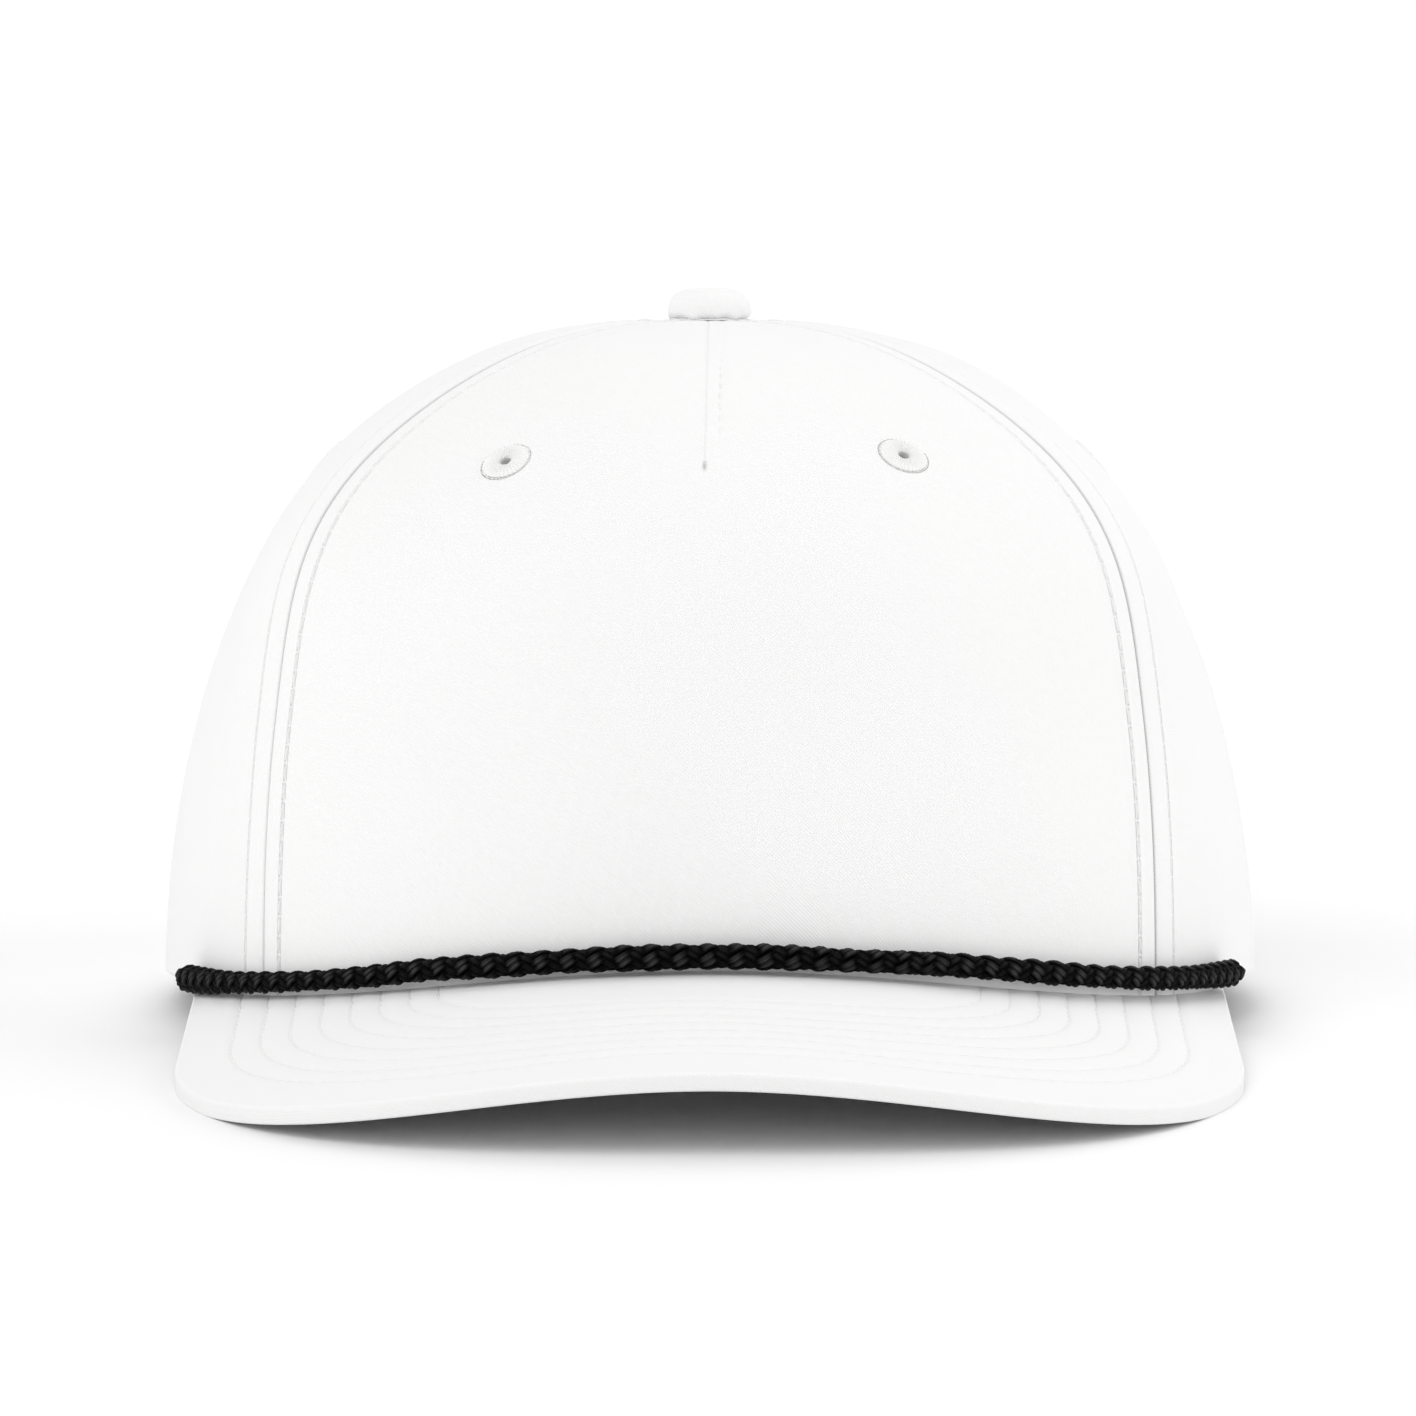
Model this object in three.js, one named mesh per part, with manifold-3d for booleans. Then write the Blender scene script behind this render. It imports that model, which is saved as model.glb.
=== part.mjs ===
// Five-panel cap with a rope along the brim seam, resting on a flat surface.
// Millimetres, +Z up. The front faces -Y and the wearer's left is +X.
// The crown is worked out in its rim frame: rim plane at z = 0, peak above the origin.
// The whole cap is then pitched back until brim and back rim touch the same floor.

import * as THREE from 'three';
import { mergeVertices } from 'three/addons/utils/BufferGeometryUtils.js';
import Module from 'manifold-3d';

const wasm = await Module();
wasm.setup();

// Crown
const crownHalfWidth = 90;
const crownHalfLength = 98;
const crownHeight = 107.3;
const meridianRound = 2.77; // exponent on the distance from the crown's axis
const meridianRise = 1.95; // exponent on the height
const frontBulge = { share: 0.08, fullTo: 55, goneAt: 90 }; // the stiff front stands more upright than the sides
const clothWall = 1.8;
const peakHoleRadius = 4;

// Seams between the panels, as azimuths in degrees from the front
const frontSeam = { atRim: 52.2, above: 54, reachedAt: 0.4 };
const backSeamAzimuth = 119;
const seamGap = 0.3;

// Brim
const brimHalfWidth = 83.1;
const brimLength = 70;
const brimThickness = 2.8;
const brimFrontHeight = 7.3; // upper face at the middle of the seam
const brimSlope = 0.134;
const brimCurve = { slope: 0.361, flatHalfWidth: 59.6 };
const brimOutline = { sideExponent: 2.8, frontExponent: 1.9, widestBehindSeam: 4.9 };

// Rope in the corner between crown and brim
const ropeRadius = 2.35;
const ropeEndAzimuth = 66.3;

// Half-moon opening at the back, the strap over it and the band inside the rim
const archHalfWidth = 36;
const archHeight = 46;
const strap = { endAzimuth: 150.5, height: 18, thickness: 1.6 };
const sweatband = { endAzimuth: 149.5, top: 31, thickness: 1.2 };

// Button and eyelets
const button = { radius: 6.9, height: 5.4, shankRadius: 3.4, shankDepth: 3.2 };
const eyelet = { ringRadius: 3.0, threadRadius: 0.95, flatness: 0.6, holeRadius: 1.3 };
const eyelets = [
  { name: 'eyelet_front_left', panel: 'front_panel', azimuth: 26.8, height: 86.5 },
  { name: 'eyelet_front_right', panel: 'front_panel', azimuth: -27.8, height: 85.6 },
  { name: 'eyelet_side_left', panel: 'side_panel_left', azimuth: 88, height: 84.5 },
  { name: 'eyelet_side_right', panel: 'side_panel_right', azimuth: -88, height: 84.5 },
  { name: 'eyelet_back_left', panel: 'back_panel_left', azimuth: 148, height: 84 },
  { name: 'eyelet_back_right', panel: 'back_panel_right', azimuth: -148, height: 84 },
];

const pieceGap = 0.3;
const pressedIn = 0.35; // how far the cloth flattens where it rests

const white = new THREE.MeshStandardMaterial({ color: 0xf2f2f0, roughness: 0.9, metalness: 0 });
const whiteThread = new THREE.MeshStandardMaterial({ color: 0xeeeeec, roughness: 0.75, metalness: 0 });
const black = new THREE.MeshStandardMaterial({ color: 0x121212, roughness: 0.65, metalness: 0 });
const plastic = new THREE.MeshStandardMaterial({ color: 0xe9e9e7, roughness: 0.45, metalness: 0 });

const { degToRad, lerp, smoothstep } = THREE.MathUtils;

// Surfaces

// Height of the brim's upper face: it slopes forward and bends down to both sides.
function brimTop(x, y) {
  const sag = brimCurve.slope * (Math.hypot(x, brimCurve.flatHalfWidth) - brimCurve.flatHalfWidth);
  return brimFrontHeight + brimSlope * (y + crownHalfLength) - sag;
}

// Lower edge of the crown: it stands on the brim in front and is level from the temples back.
function rimHeight(azimuth, inset) {
  const x = (crownHalfWidth - inset) * Math.sin(azimuth);
  const y = -(crownHalfLength - inset) * Math.cos(azimuth);
  const level = smoothstep(Math.abs(azimuth), degToRad(60), degToRad(90));
  return (brimTop(x, y) + pieceGap) * (1 - level);
}

// Distance from the axis, as a share of the rim's, at a share of the crown's height.
function meridian(share, azimuth) {
  const { fullTo, goneAt } = frontBulge;
  const front = 1 - smoothstep(Math.abs(azimuth), degToRad(fullTo), degToRad(goneAt));
  const bulge = frontBulge.share * front * Math.sin(Math.PI * share ** 2) ** 2;
  return (1 - share ** meridianRise) ** (1 / meridianRound) + bulge;
}

function crownPoint(azimuth, share, inset) {
  const rho = meridian(share, azimuth);
  const rim = rimHeight(azimuth, inset);
  return new THREE.Vector3(
    (crownHalfWidth - inset) * Math.sin(azimuth) * rho,
    -(crownHalfLength - inset) * Math.cos(azimuth) * rho,
    rim + (crownHeight - inset - rim) * share,
  );
}

function shareAtHeight(azimuth, height) {
  const rim = rimHeight(azimuth, 0);
  return Math.max(0, height - rim) / (crownHeight - rim);
}

// Azimuth of the seam beside the front panel at a share of the height.
function frontSeamAzimuth(share) {
  return degToRad(lerp(frontSeam.atRim, frontSeam.above, smoothstep(share, 0, frontSeam.reachedAt)));
}

// Resting pose: the pitch at which the lowest underside of the brim meets the floor under the back rim.

class BrimEdge extends THREE.Curve {
  // t runs from the left tip over the front to the right tip, in plan.
  getPoint(t, target = new THREE.Vector3()) {
    const side = t < 0.5 ? -1 : 1;
    const along = Math.abs(t - 0.5) * 2;
    const roundShare = 0.7;
    const widestY = brimOutline.widestBehindSeam - crownHalfLength;
    if (along < roundShare) {
      const turn = (along / roundShare) * Math.PI / 2;
      const depth = brimLength + brimOutline.widestBehindSeam;
      const x = brimHalfWidth * Math.sin(turn) ** (2 / brimOutline.sideExponent);
      return target.set(side * x, widestY - depth * Math.cos(turn) ** (2 / brimOutline.frontExponent), 0);
    }
    const back = (along - roundShare) / (1 - roundShare);
    const tipY = -crownHalfLength * Math.cos(Math.asin(brimHalfWidth / crownHalfWidth));
    return target.set(side * brimHalfWidth, lerp(widestY, tipY, back), 0);
  }
}

const brimColumns = 56;
const brimEdge = new BrimEdge().getSpacedPoints(brimColumns);
const pitch = Math.atan(Math.max(...brimEdge.map(
  ({ x, y }) => (brimTop(x, y) - brimThickness) / (y - crownHalfLength),
)));

// Where the cloth reaches the floor it is flattened against it.
function aboveFloor(point) {
  const floor = pressedIn + Math.tan(pitch) * (point.y - crownHalfLength);
  point.z = Math.max(point.z, floor);
  return point;
}

// Solids

// Closed slab between an outer face, depth 0, and an inner face, depth 1.
// The outer face looks along the cross product of the u and v directions.
function slab(surface, columns, rows) {
  const positions = [];
  const indices = [];
  for (let depth = 0; depth <= 1; depth++) {
    for (let row = 0; row <= rows; row++) {
      for (let column = 0; column <= columns; column++) {
        positions.push(...aboveFloor(surface(column / columns, row / rows, depth)));
      }
    }
  }
  const at = (depth, column, row) => (depth * (rows + 1) + row) * (columns + 1) + column;
  const quad = (a, b, c, d) => indices.push(a, b, c, a, c, d);
  for (let row = 0; row < rows; row++) {
    for (let column = 0; column < columns; column++) {
      quad(at(0, column, row), at(0, column + 1, row), at(0, column + 1, row + 1), at(0, column, row + 1));
      quad(at(1, column, row), at(1, column, row + 1), at(1, column + 1, row + 1), at(1, column + 1, row));
    }
  }
  for (let column = 0; column < columns; column++) {
    quad(at(1, column, 0), at(1, column + 1, 0), at(0, column + 1, 0), at(0, column, 0));
    quad(at(0, column, rows), at(0, column + 1, rows), at(1, column + 1, rows), at(1, column, rows));
  }
  for (let row = 0; row < rows; row++) {
    quad(at(1, 0, row), at(0, 0, row), at(0, 0, row + 1), at(1, 0, row + 1));
    quad(at(0, columns, row), at(1, columns, row), at(1, columns, row + 1), at(0, columns, row + 1));
  }
  const geometry = new THREE.BufferGeometry();
  geometry.setAttribute('position', new THREE.Float32BufferAttribute(positions, 3));
  geometry.setIndex(indices);
  geometry.computeVertexNormals();
  return geometry;
}

// One crown panel between two seams, each an azimuth for a share of the height.
function panelGeometry(fromSeam, toSeam, columns, rows) {
  const topTurn = Math.acos((peakHoleRadius / crownHalfWidth) ** (meridianRound / 2));
  return slab((u, v, depth) => {
    const share = Math.sin(v * topTurn) ** (2 / meridianRise);
    const halfGap = seamGap / 2 / (crownHalfWidth * meridian(share, Math.PI));
    const azimuth = lerp(fromSeam(share) + halfGap, toSeam(share) - halfGap, u);
    return crownPoint(azimuth, share, depth * clothWall);
  }, columns, rows);
}

// Upright band just inside the crown wall, between two azimuths.
function innerBand(fromDegrees, toDegrees, top, thickness, columns, rows) {
  return slab((u, v, depth) => {
    const azimuth = degToRad(lerp(fromDegrees, toDegrees, u));
    const share = shareAtHeight(azimuth, top) * v;
    return crownPoint(azimuth, share, clothWall + pieceGap + depth * thickness);
  }, columns, rows);
}

function brimGeometry() {
  const tipAzimuth = Math.asin(brimHalfWidth / crownHalfWidth);
  return slab((u, v, depth) => {
    const edge = brimEdge[Math.round(u * brimColumns)];
    const azimuth = lerp(-tipAzimuth, tipAzimuth, u);
    const seamX = (crownHalfWidth - clothWall) * Math.sin(azimuth);
    const seamY = -(crownHalfLength - clothWall) * Math.cos(azimuth);
    const x = lerp(edge.x, seamX, v);
    const y = lerp(edge.y, seamY, v);
    return new THREE.Vector3(x, y, brimTop(x, y) - depth * brimThickness);
  }, brimColumns, 6);
}

class RopePath extends THREE.Curve {
  getPoint(t, target = new THREE.Vector3()) {
    const azimuth = degToRad(lerp(-ropeEndAzimuth, ropeEndAzimuth, t));
    const clear = ropeRadius + pieceGap;
    const x = (crownHalfWidth + clear) * Math.sin(azimuth);
    const y = -(crownHalfLength + clear) * Math.cos(azimuth);
    const slope = brimCurve.slope * x / Math.hypot(x, brimCurve.flatHalfWidth);
    return target.set(x, y, brimTop(x, y) + clear * Math.hypot(1, slope, brimSlope));
  }
}

function ropeGeometry() {
  const section = new THREE.Shape();
  section.absarc(0, 0, ropeRadius, 0, 2 * Math.PI);
  return new THREE.ExtrudeGeometry(section, { steps: 40, curveSegments: 5, extrudePath: new RopePath() });
}

function buttonGeometry() {
  const { radius, height, shankRadius, shankDepth } = button;
  const profile = [
    [0, -shankDepth],
    [shankRadius, -shankDepth],
    [shankRadius, pieceGap],
    [radius, pieceGap],
    [radius * 1.03, height * 0.4],
    [radius * 0.96, height * 0.72],
    [radius * 0.74, height * 0.92],
    [radius * 0.36, height],
    [0, height],
  ].map(([x, y]) => new THREE.Vector2(x, y));
  return new THREE.LatheGeometry(profile, 24).rotateX(Math.PI / 2);
}

function eyeletGeometry() {
  return new THREE.TorusGeometry(eyelet.ringRadius, eyelet.threadRadius, 6, 14).scale(1, 1, eyelet.flatness);
}

// Outer half of the normal line at a place on the crown, as a placement matrix.
function onCrown(azimuth, height, lift) {
  const share = shareAtHeight(azimuth, height);
  const small = 1e-3;
  const around = crownPoint(azimuth + small, share, 0).sub(crownPoint(azimuth - small, share, 0));
  const up = crownPoint(azimuth, share + small, 0).sub(crownPoint(azimuth, share - small, 0));
  const normal = new THREE.Vector3().crossVectors(around, up).normalize();
  const turn = new THREE.Quaternion().setFromUnitVectors(new THREE.Vector3(0, 0, 1), normal);
  const place = crownPoint(azimuth, share, 0).addScaledVector(normal, lift);
  return new THREE.Matrix4().compose(place, turn, new THREE.Vector3(1, 1, 1));
}

// Cuts

function toSolid(geometry) {
  const bare = geometry.clone();
  bare.deleteAttribute('normal');
  bare.deleteAttribute('uv');
  const merged = mergeVertices(bare, 1e-4);
  return new wasm.Manifold(new wasm.Mesh({
    numProp: 3,
    vertProperties: new Float32Array(merged.attributes.position.array),
    triVerts: new Uint32Array(merged.index.array),
  }));
}

function toGeometry(solid) {
  const mesh = solid.getMesh();
  const geometry = new THREE.BufferGeometry();
  geometry.setAttribute('position', new THREE.Float32BufferAttribute(mesh.vertProperties, 3));
  geometry.setIndex(Array.from(mesh.triVerts));
  geometry.computeVertexNormals();
  return geometry;
}

function eyeletHole(azimuth, height) {
  const drill = new THREE.CylinderGeometry(eyelet.holeRadius, eyelet.holeRadius, 4 * clothWall, 10);
  return toSolid(drill.rotateX(Math.PI / 2).applyMatrix4(onCrown(azimuth, height, 0)));
}

function archCutter() {
  const arch = new THREE.Shape();
  arch.moveTo(-archHalfWidth, -clothWall);
  arch.lineTo(archHalfWidth, -clothWall);
  arch.absellipse(0, 0, archHalfWidth, archHeight, 0, Math.PI);
  const block = new THREE.ExtrudeGeometry(arch, { depth: crownHalfLength, curveSegments: 20, bevelEnabled: false });
  return toSolid(block.rotateX(Math.PI / 2).translate(0, 1.2 * crownHalfLength, 0));
}

function cut(geometry, cutters) {
  return toGeometry(cutters.reduce((solid, cutter) => solid.subtract(cutter), toSolid(geometry)));
}

// Assembly

const tilted = new THREE.Group();
tilted.rotation.x = -pitch;
tilted.position.z = crownHalfLength * Math.sin(pitch) - pressedIn * Math.cos(pitch);

function add(name, geometry, material) {
  const mesh = new THREE.Mesh(geometry, material);
  mesh.name = name;
  tilted.add(mesh);
  return mesh;
}

const backSeam = () => degToRad(backSeamAzimuth);
const backCentre = () => Math.PI;
const mirrored = (seam) => (share) => -seam(share);
const panels = [
  { name: 'front_panel', from: mirrored(frontSeamAzimuth), to: frontSeamAzimuth, columns: 26, cutters: [] },
  { name: 'side_panel_left', from: frontSeamAzimuth, to: backSeam, columns: 12, cutters: [] },
  { name: 'side_panel_right', from: mirrored(backSeam), to: mirrored(frontSeamAzimuth), columns: 12, cutters: [] },
  { name: 'back_panel_left', from: backSeam, to: backCentre, columns: 12, cutters: [archCutter()] },
  { name: 'back_panel_right', from: mirrored(backCentre), to: mirrored(backSeam), columns: 12, cutters: [archCutter()] },
];

for (const { name, panel: host, azimuth, height } of eyelets) {
  const ring = add(name, eyeletGeometry(), whiteThread);
  const lift = pieceGap + eyelet.threadRadius * eyelet.flatness;
  onCrown(degToRad(azimuth), height, lift).decompose(ring.position, ring.quaternion, ring.scale);
  panels.find((panel) => panel.name === host).cutters.push(eyeletHole(degToRad(azimuth), height));
}
for (const { name, from, to, columns, cutters } of panels) {
  add(name, cut(panelGeometry(from, to, columns, 16), cutters), white);
}

add('brim', brimGeometry(), white);
add('rope', ropeGeometry(), black);
add('button', buttonGeometry(), white).position.z = crownHeight;

const { endAzimuth: bandEnd } = sweatband;
add('sweatband', innerBand(-bandEnd, bandEnd, sweatband.top, sweatband.thickness, 60, 3), white);
const { endAzimuth: strapEnd } = strap;
add('closure_strap', innerBand(strapEnd, 360 - strapEnd, strap.height, strap.thickness, 20, 2), plastic);

const cap = new THREE.Group();
cap.add(tilted);
const reach = new THREE.Box3().setFromObject(cap, true);
cap.position.y = -(reach.min.y + reach.max.y) / 2;

export default cap;
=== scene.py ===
# Dresses the five-panel cap: twill panels with sewn seams, a stitched brim, a braided rope, soft light.
# Shapes are worked out in the crown's rim frame in millimetres, then laid down on the floor in metres.
import math
import bpy
import numpy as np
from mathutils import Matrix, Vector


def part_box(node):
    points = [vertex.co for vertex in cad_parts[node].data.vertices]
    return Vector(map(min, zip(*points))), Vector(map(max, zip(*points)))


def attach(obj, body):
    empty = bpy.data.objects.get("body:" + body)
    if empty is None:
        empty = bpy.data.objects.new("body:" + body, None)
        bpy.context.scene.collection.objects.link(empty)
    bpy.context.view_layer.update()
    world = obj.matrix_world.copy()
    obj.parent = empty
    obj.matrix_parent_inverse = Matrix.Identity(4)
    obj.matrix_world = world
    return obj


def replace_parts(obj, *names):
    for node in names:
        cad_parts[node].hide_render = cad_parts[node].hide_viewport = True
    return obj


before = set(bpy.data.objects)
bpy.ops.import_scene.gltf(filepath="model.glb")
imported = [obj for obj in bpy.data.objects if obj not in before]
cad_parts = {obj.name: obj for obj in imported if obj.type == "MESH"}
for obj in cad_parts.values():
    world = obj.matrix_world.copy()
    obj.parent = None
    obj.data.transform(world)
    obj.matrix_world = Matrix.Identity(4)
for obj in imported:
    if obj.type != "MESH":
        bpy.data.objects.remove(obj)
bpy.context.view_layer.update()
rng = np.random.default_rng(7)

capShape = {
    "halfWidth": 90.0, "halfLength": 98.0, "height": 107.3,
    "meridianRound": 2.77, "meridianRise": 1.95,
    "bulgeShare": 0.08, "bulgeSpan": (55.0, 90.0), "onBrimSpan": (60.0, 90.0),
    "wall": 1.8, "peakHole": 4.0, "gap": 0.3, "pressedIn": 0.35,
}
brimShape = {
    "halfWidth": 83.1, "length": 70.0, "thickness": 2.8,
    "frontHeight": 7.3, "slope": 0.134, "curve": 0.361, "flatHalfWidth": 59.6,
    "sideExponent": 2.8, "frontExponent": 1.9, "widestBehindSeam": 4.9,
}
seamAzimuths = {"frontAtRim": 52.2, "frontAbove": 54.0, "reachedAt": 0.4, "back": 119.0}
archShape = {"halfWidth": 36.0, "height": 46.0, "farOff": 99.0}
hem = {"archRow": 5.0, "rise": 0.2, "foldSpan": 2.0, "lowest": 1.5}
eyelets = {
    "eyelet_front_left": (26.8, 86.5), "eyelet_front_right": (-27.8, 85.6),
    "eyelet_side_left": (88.0, 84.5), "eyelet_side_right": (-88.0, 84.5),
    "eyelet_back_left": (148.0, 84.0), "eyelet_back_right": (-148.0, 84.0),
}


# Surfaces

def smoothstep(x, low, high):
    # Smooth rise from 0 at low to 1 at high.
    t = np.clip((x - low) / (high - low), 0.0, 1.0)
    return t * t * (3.0 - 2.0 * t)


def blend(low, high, share):
    return low + (high - low) * share


def hump(distance, width):
    return np.exp(-((distance / width) ** 2))


def fullTurn(count):
    return np.linspace(0.0, 2 * np.pi, count, endpoint=False)


def inFront(azimuth, span):
    # 1 in front, falling to 0 between two azimuths in degrees on both sides.
    low, high = np.radians(span)
    return 1.0 - smoothstep(np.abs(azimuth), low, high)


def brimTop(x, y):
    # Height of the brim's upper face: a forward slope minus a hyperbola that bends both sides down.
    b = brimShape
    sag = b["curve"] * (np.hypot(x, b["flatHalfWidth"]) - b["flatHalfWidth"])
    return b["frontHeight"] + b["slope"] * (y + capShape["halfLength"]) - sag


def rimPlan(azimuth, inset):
    # The rim ellipse seen from above, drawn in by the inset.
    c = capShape
    return (c["halfWidth"] - inset) * np.sin(azimuth), -(c["halfLength"] - inset) * np.cos(azimuth)


def rimHeight(azimuth, inset):
    # Lower edge of the crown: on the brim in front, level from the temples back.
    onBrim = inFront(azimuth, capShape["onBrimSpan"])
    return (brimTop(*rimPlan(azimuth, inset)) + capShape["gap"]) * onBrim


def meridian(share, azimuth):
    # Superellipse in height and distance from the axis, plus a bulge that keeps the stiff front upright.
    c = capShape
    bulge = c["bulgeShare"] * inFront(azimuth, c["bulgeSpan"]) * np.sin(np.pi * share**2) ** 2
    return (1.0 - share ** c["meridianRise"]) ** (1.0 / c["meridianRound"]) + bulge


def crownPoint(azimuth, share, inset):
    # The rim ellipse, drawn in by the meridian and raised from the rim to the peak.
    x, y = rimPlan(azimuth, inset)
    rho = meridian(share, azimuth)
    rim = rimHeight(azimuth, inset)
    return np.stack([x * rho, y * rho, rim + (capShape["height"] - inset - rim) * share], -1)


def unit(vectors):
    return vectors / np.maximum(np.linalg.norm(vectors, axis=-1, keepdims=True), 1e-9)


def crownFrame(azimuth, share):
    # Point, sideways and upward tangents and outward normal of the crown, by central differences.
    step = 1e-4
    share = np.clip(share, step, 1.0 - step)
    around = unit(crownPoint(azimuth + step, share, 0.0) - crownPoint(azimuth - step, share, 0.0))
    up = unit(crownPoint(azimuth, share + step, 0.0) - crownPoint(azimuth, share - step, 0.0))
    return crownPoint(azimuth, share, 0.0), around, up, unit(np.cross(around, up))


def eyeletFrame(degrees, height):
    # The crown's frame at an eyelet.
    azimuth = np.array([math.radians(degrees)])
    return [vector[0] for vector in crownFrame(azimuth, shareAtHeight(azimuth, height))]


def localRadius(azimuth, share):
    # Millimetres of cloth for each radian of azimuth.
    step = 1e-3
    across = crownPoint(azimuth + step, share, 0.0) - crownPoint(azimuth - step, share, 0.0)
    return np.linalg.norm(across, axis=-1) / (2 * step)


def frontSeam(share):
    # Azimuth of the seam between the front and a side panel, a little further forward near the rim.
    s = seamAzimuths
    return np.radians(blend(s["frontAtRim"], s["frontAbove"], smoothstep(share, 0.0, s["reachedAt"])))


def backSeam(share):
    return np.full_like(share, np.radians(seamAzimuths["back"]))


def backCentre(share):
    return np.full_like(share, np.pi)


def lengthsAlong(path):
    # Distance along a path to each of its points.
    return np.concatenate([[0.0], np.cumsum(np.linalg.norm(np.diff(path, axis=0), axis=-1))])


def placesAt(path, along, at):
    # Points of a path at given distances along it.
    return np.stack([np.interp(at, along, values) for values in path.T], -1)


# Length along a meridian of the plain back against its share of the height, read both ways.
tableAzimuth = np.radians(120)
tableShares = 1.0 - np.linspace(1.0, 0.0, 1200) ** 2
tableLengths = lengthsAlong(crownPoint(np.full(1200, tableAzimuth), tableShares, 0.0))


def shareAtLength(length):
    return np.interp(length, tableLengths, tableShares)


def lengthAtShare(share):
    return np.interp(share, tableShares, tableLengths)


def shareAtHeight(azimuth, height):
    rim = rimHeight(azimuth, 0.0)
    return np.maximum(height - rim, 0.0) / (capShape["height"] - rim)


def beyondArch(points):
    # Millimetres outside the edge of the back arch: the ellipse's measure less 1, divided by its slope.
    a, b = archShape["halfWidth"], archShape["height"]
    measure = np.hypot(points[..., 0] / a, points[..., 2] / b)
    slope = np.hypot(points[..., 0] / a**2, points[..., 2] / b**2) / np.maximum(measure, 1e-6)
    outside = (measure - 1.0) / np.maximum(slope, 1e-6)
    return np.where(points[..., 1] > 0.0, outside, archShape["farOff"])


# Resting pose

def brimOutline(count, side=0.0, front=0.0, endRadius=0.0):
    # Outline of the brim drawn in at its sides and front: a superellipse over the front, then straight
    # sides back to the crown.
    b = brimShape
    halfWidth = b["halfWidth"] - side
    widestY = b["widestBehindSeam"] - capShape["halfLength"]
    turn = np.linspace(0.0, np.pi / 2, 1600)
    x = halfWidth * np.sin(turn) ** (2 / b["sideExponent"])
    y = widestY - (b["length"] + b["widestBehindSeam"] - front) * np.cos(turn) ** (2 / b["frontExponent"])
    acrossAt = halfWidth / (capShape["halfWidth"] + endRadius)
    endY = -(capShape["halfLength"] + endRadius) * math.sqrt(max(0.0, 1.0 - acrossAt**2))
    half = np.stack([np.append(x, halfWidth), np.append(y, max(endY, widestY))], -1)
    whole = np.concatenate([half[::-1] * (-1, 1), half[1:]])
    along = lengthsAlong(whole)
    return placesAt(whole, along, np.linspace(0.0, along[-1], count))


outline = brimOutline(800)
pitch = math.atan(np.max((brimTop(outline[:, 0], outline[:, 1]) - brimShape["thickness"])
                         / (outline[:, 1] - capShape["halfLength"])))
lift = capShape["halfLength"] * math.sin(pitch) - capShape["pressedIn"] * math.cos(pitch)
frontLow = brimTop(0.0, outline[:, 1].min()) - brimShape["thickness"]
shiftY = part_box("brim")[0].y * 1000 - (outline[:, 1].min() * math.cos(pitch) + frontLow * math.sin(pitch))


def tilted(vectors):
    # Turns rim-frame vectors back by the pitch.
    x, y, z = vectors[..., 0], vectors[..., 1], vectors[..., 2]
    return np.stack([x, y * math.cos(pitch) + z * math.sin(pitch),
                     z * math.cos(pitch) - y * math.sin(pitch)], -1)


def laidDown(points, flatten=True):
    # From the rim frame to the resting frame in metres; what would sink into the floor is flattened on it.
    points = np.array(points, float)
    if flatten:
        floor = capShape["pressedIn"] + math.tan(pitch) * (points[..., 1] - capShape["halfLength"])
        points[..., 2] = np.maximum(points[..., 2], floor)
    return (tilted(points) + (0.0, shiftY, lift)) * 0.001


def placed(name, data):
    # An object of the scene made from its data.
    thing = bpy.data.objects.new(name, data)
    bpy.context.collection.objects.link(thing)
    return thing


# Camera, at the photograph's angle to the rim plane

cameraView = {"elevation": 2.93, "distance": 1500.0, "focalPixels": 9057.0, "framePixels": 1416.0,
              "aimHeight": 43.2, "aimSide": -0.25}


def addCamera(view):
    e = math.radians(view["elevation"])
    aim = np.array([view["aimSide"], 0.0, view["aimHeight"]])
    place = aim + view["distance"] * np.array([0.0, -math.cos(e), math.sin(e)])
    data = bpy.data.cameras.new("camera")
    data.sensor_width = 36.0
    data.lens = view["focalPixels"] / view["framePixels"] * data.sensor_width
    data.clip_end = 200.0
    camera = placed("camera", data)
    camera.location = laidDown(place, flatten=False)
    camera.rotation_euler = (math.pi / 2 - e - pitch, 0.0, 0.0)
    bpy.context.scene.camera = camera


addCamera(cameraView)
print("camera set")


# Meshes from arrays

def gridQuads(rows, columns, start=0, wrap=False, closed=False):
    # Quads of a grid of points stored row by row; wrap joins the last column to the first, closed the rows.
    row, column = np.meshgrid(np.arange(rows if closed else rows - 1),
                              np.arange(columns if wrap else columns - 1), indexing="ij")
    below, beside = (row + 1) % rows * columns, (column + 1) % columns
    row = row * columns
    return np.stack([row + column, row + beside, below + beside, below + column], -1).reshape(-1, 4) + start


def fan(first, sides, tip, turned=False):
    # Triangles from a ring of points to one tip.
    near = first + np.arange(sides)
    beyond = first + (np.arange(sides) + 1) % sides
    made = np.stack([near, beyond, np.full_like(near, tip)], -1)
    return made[:, [1, 0, 2]] if turned else made


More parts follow.
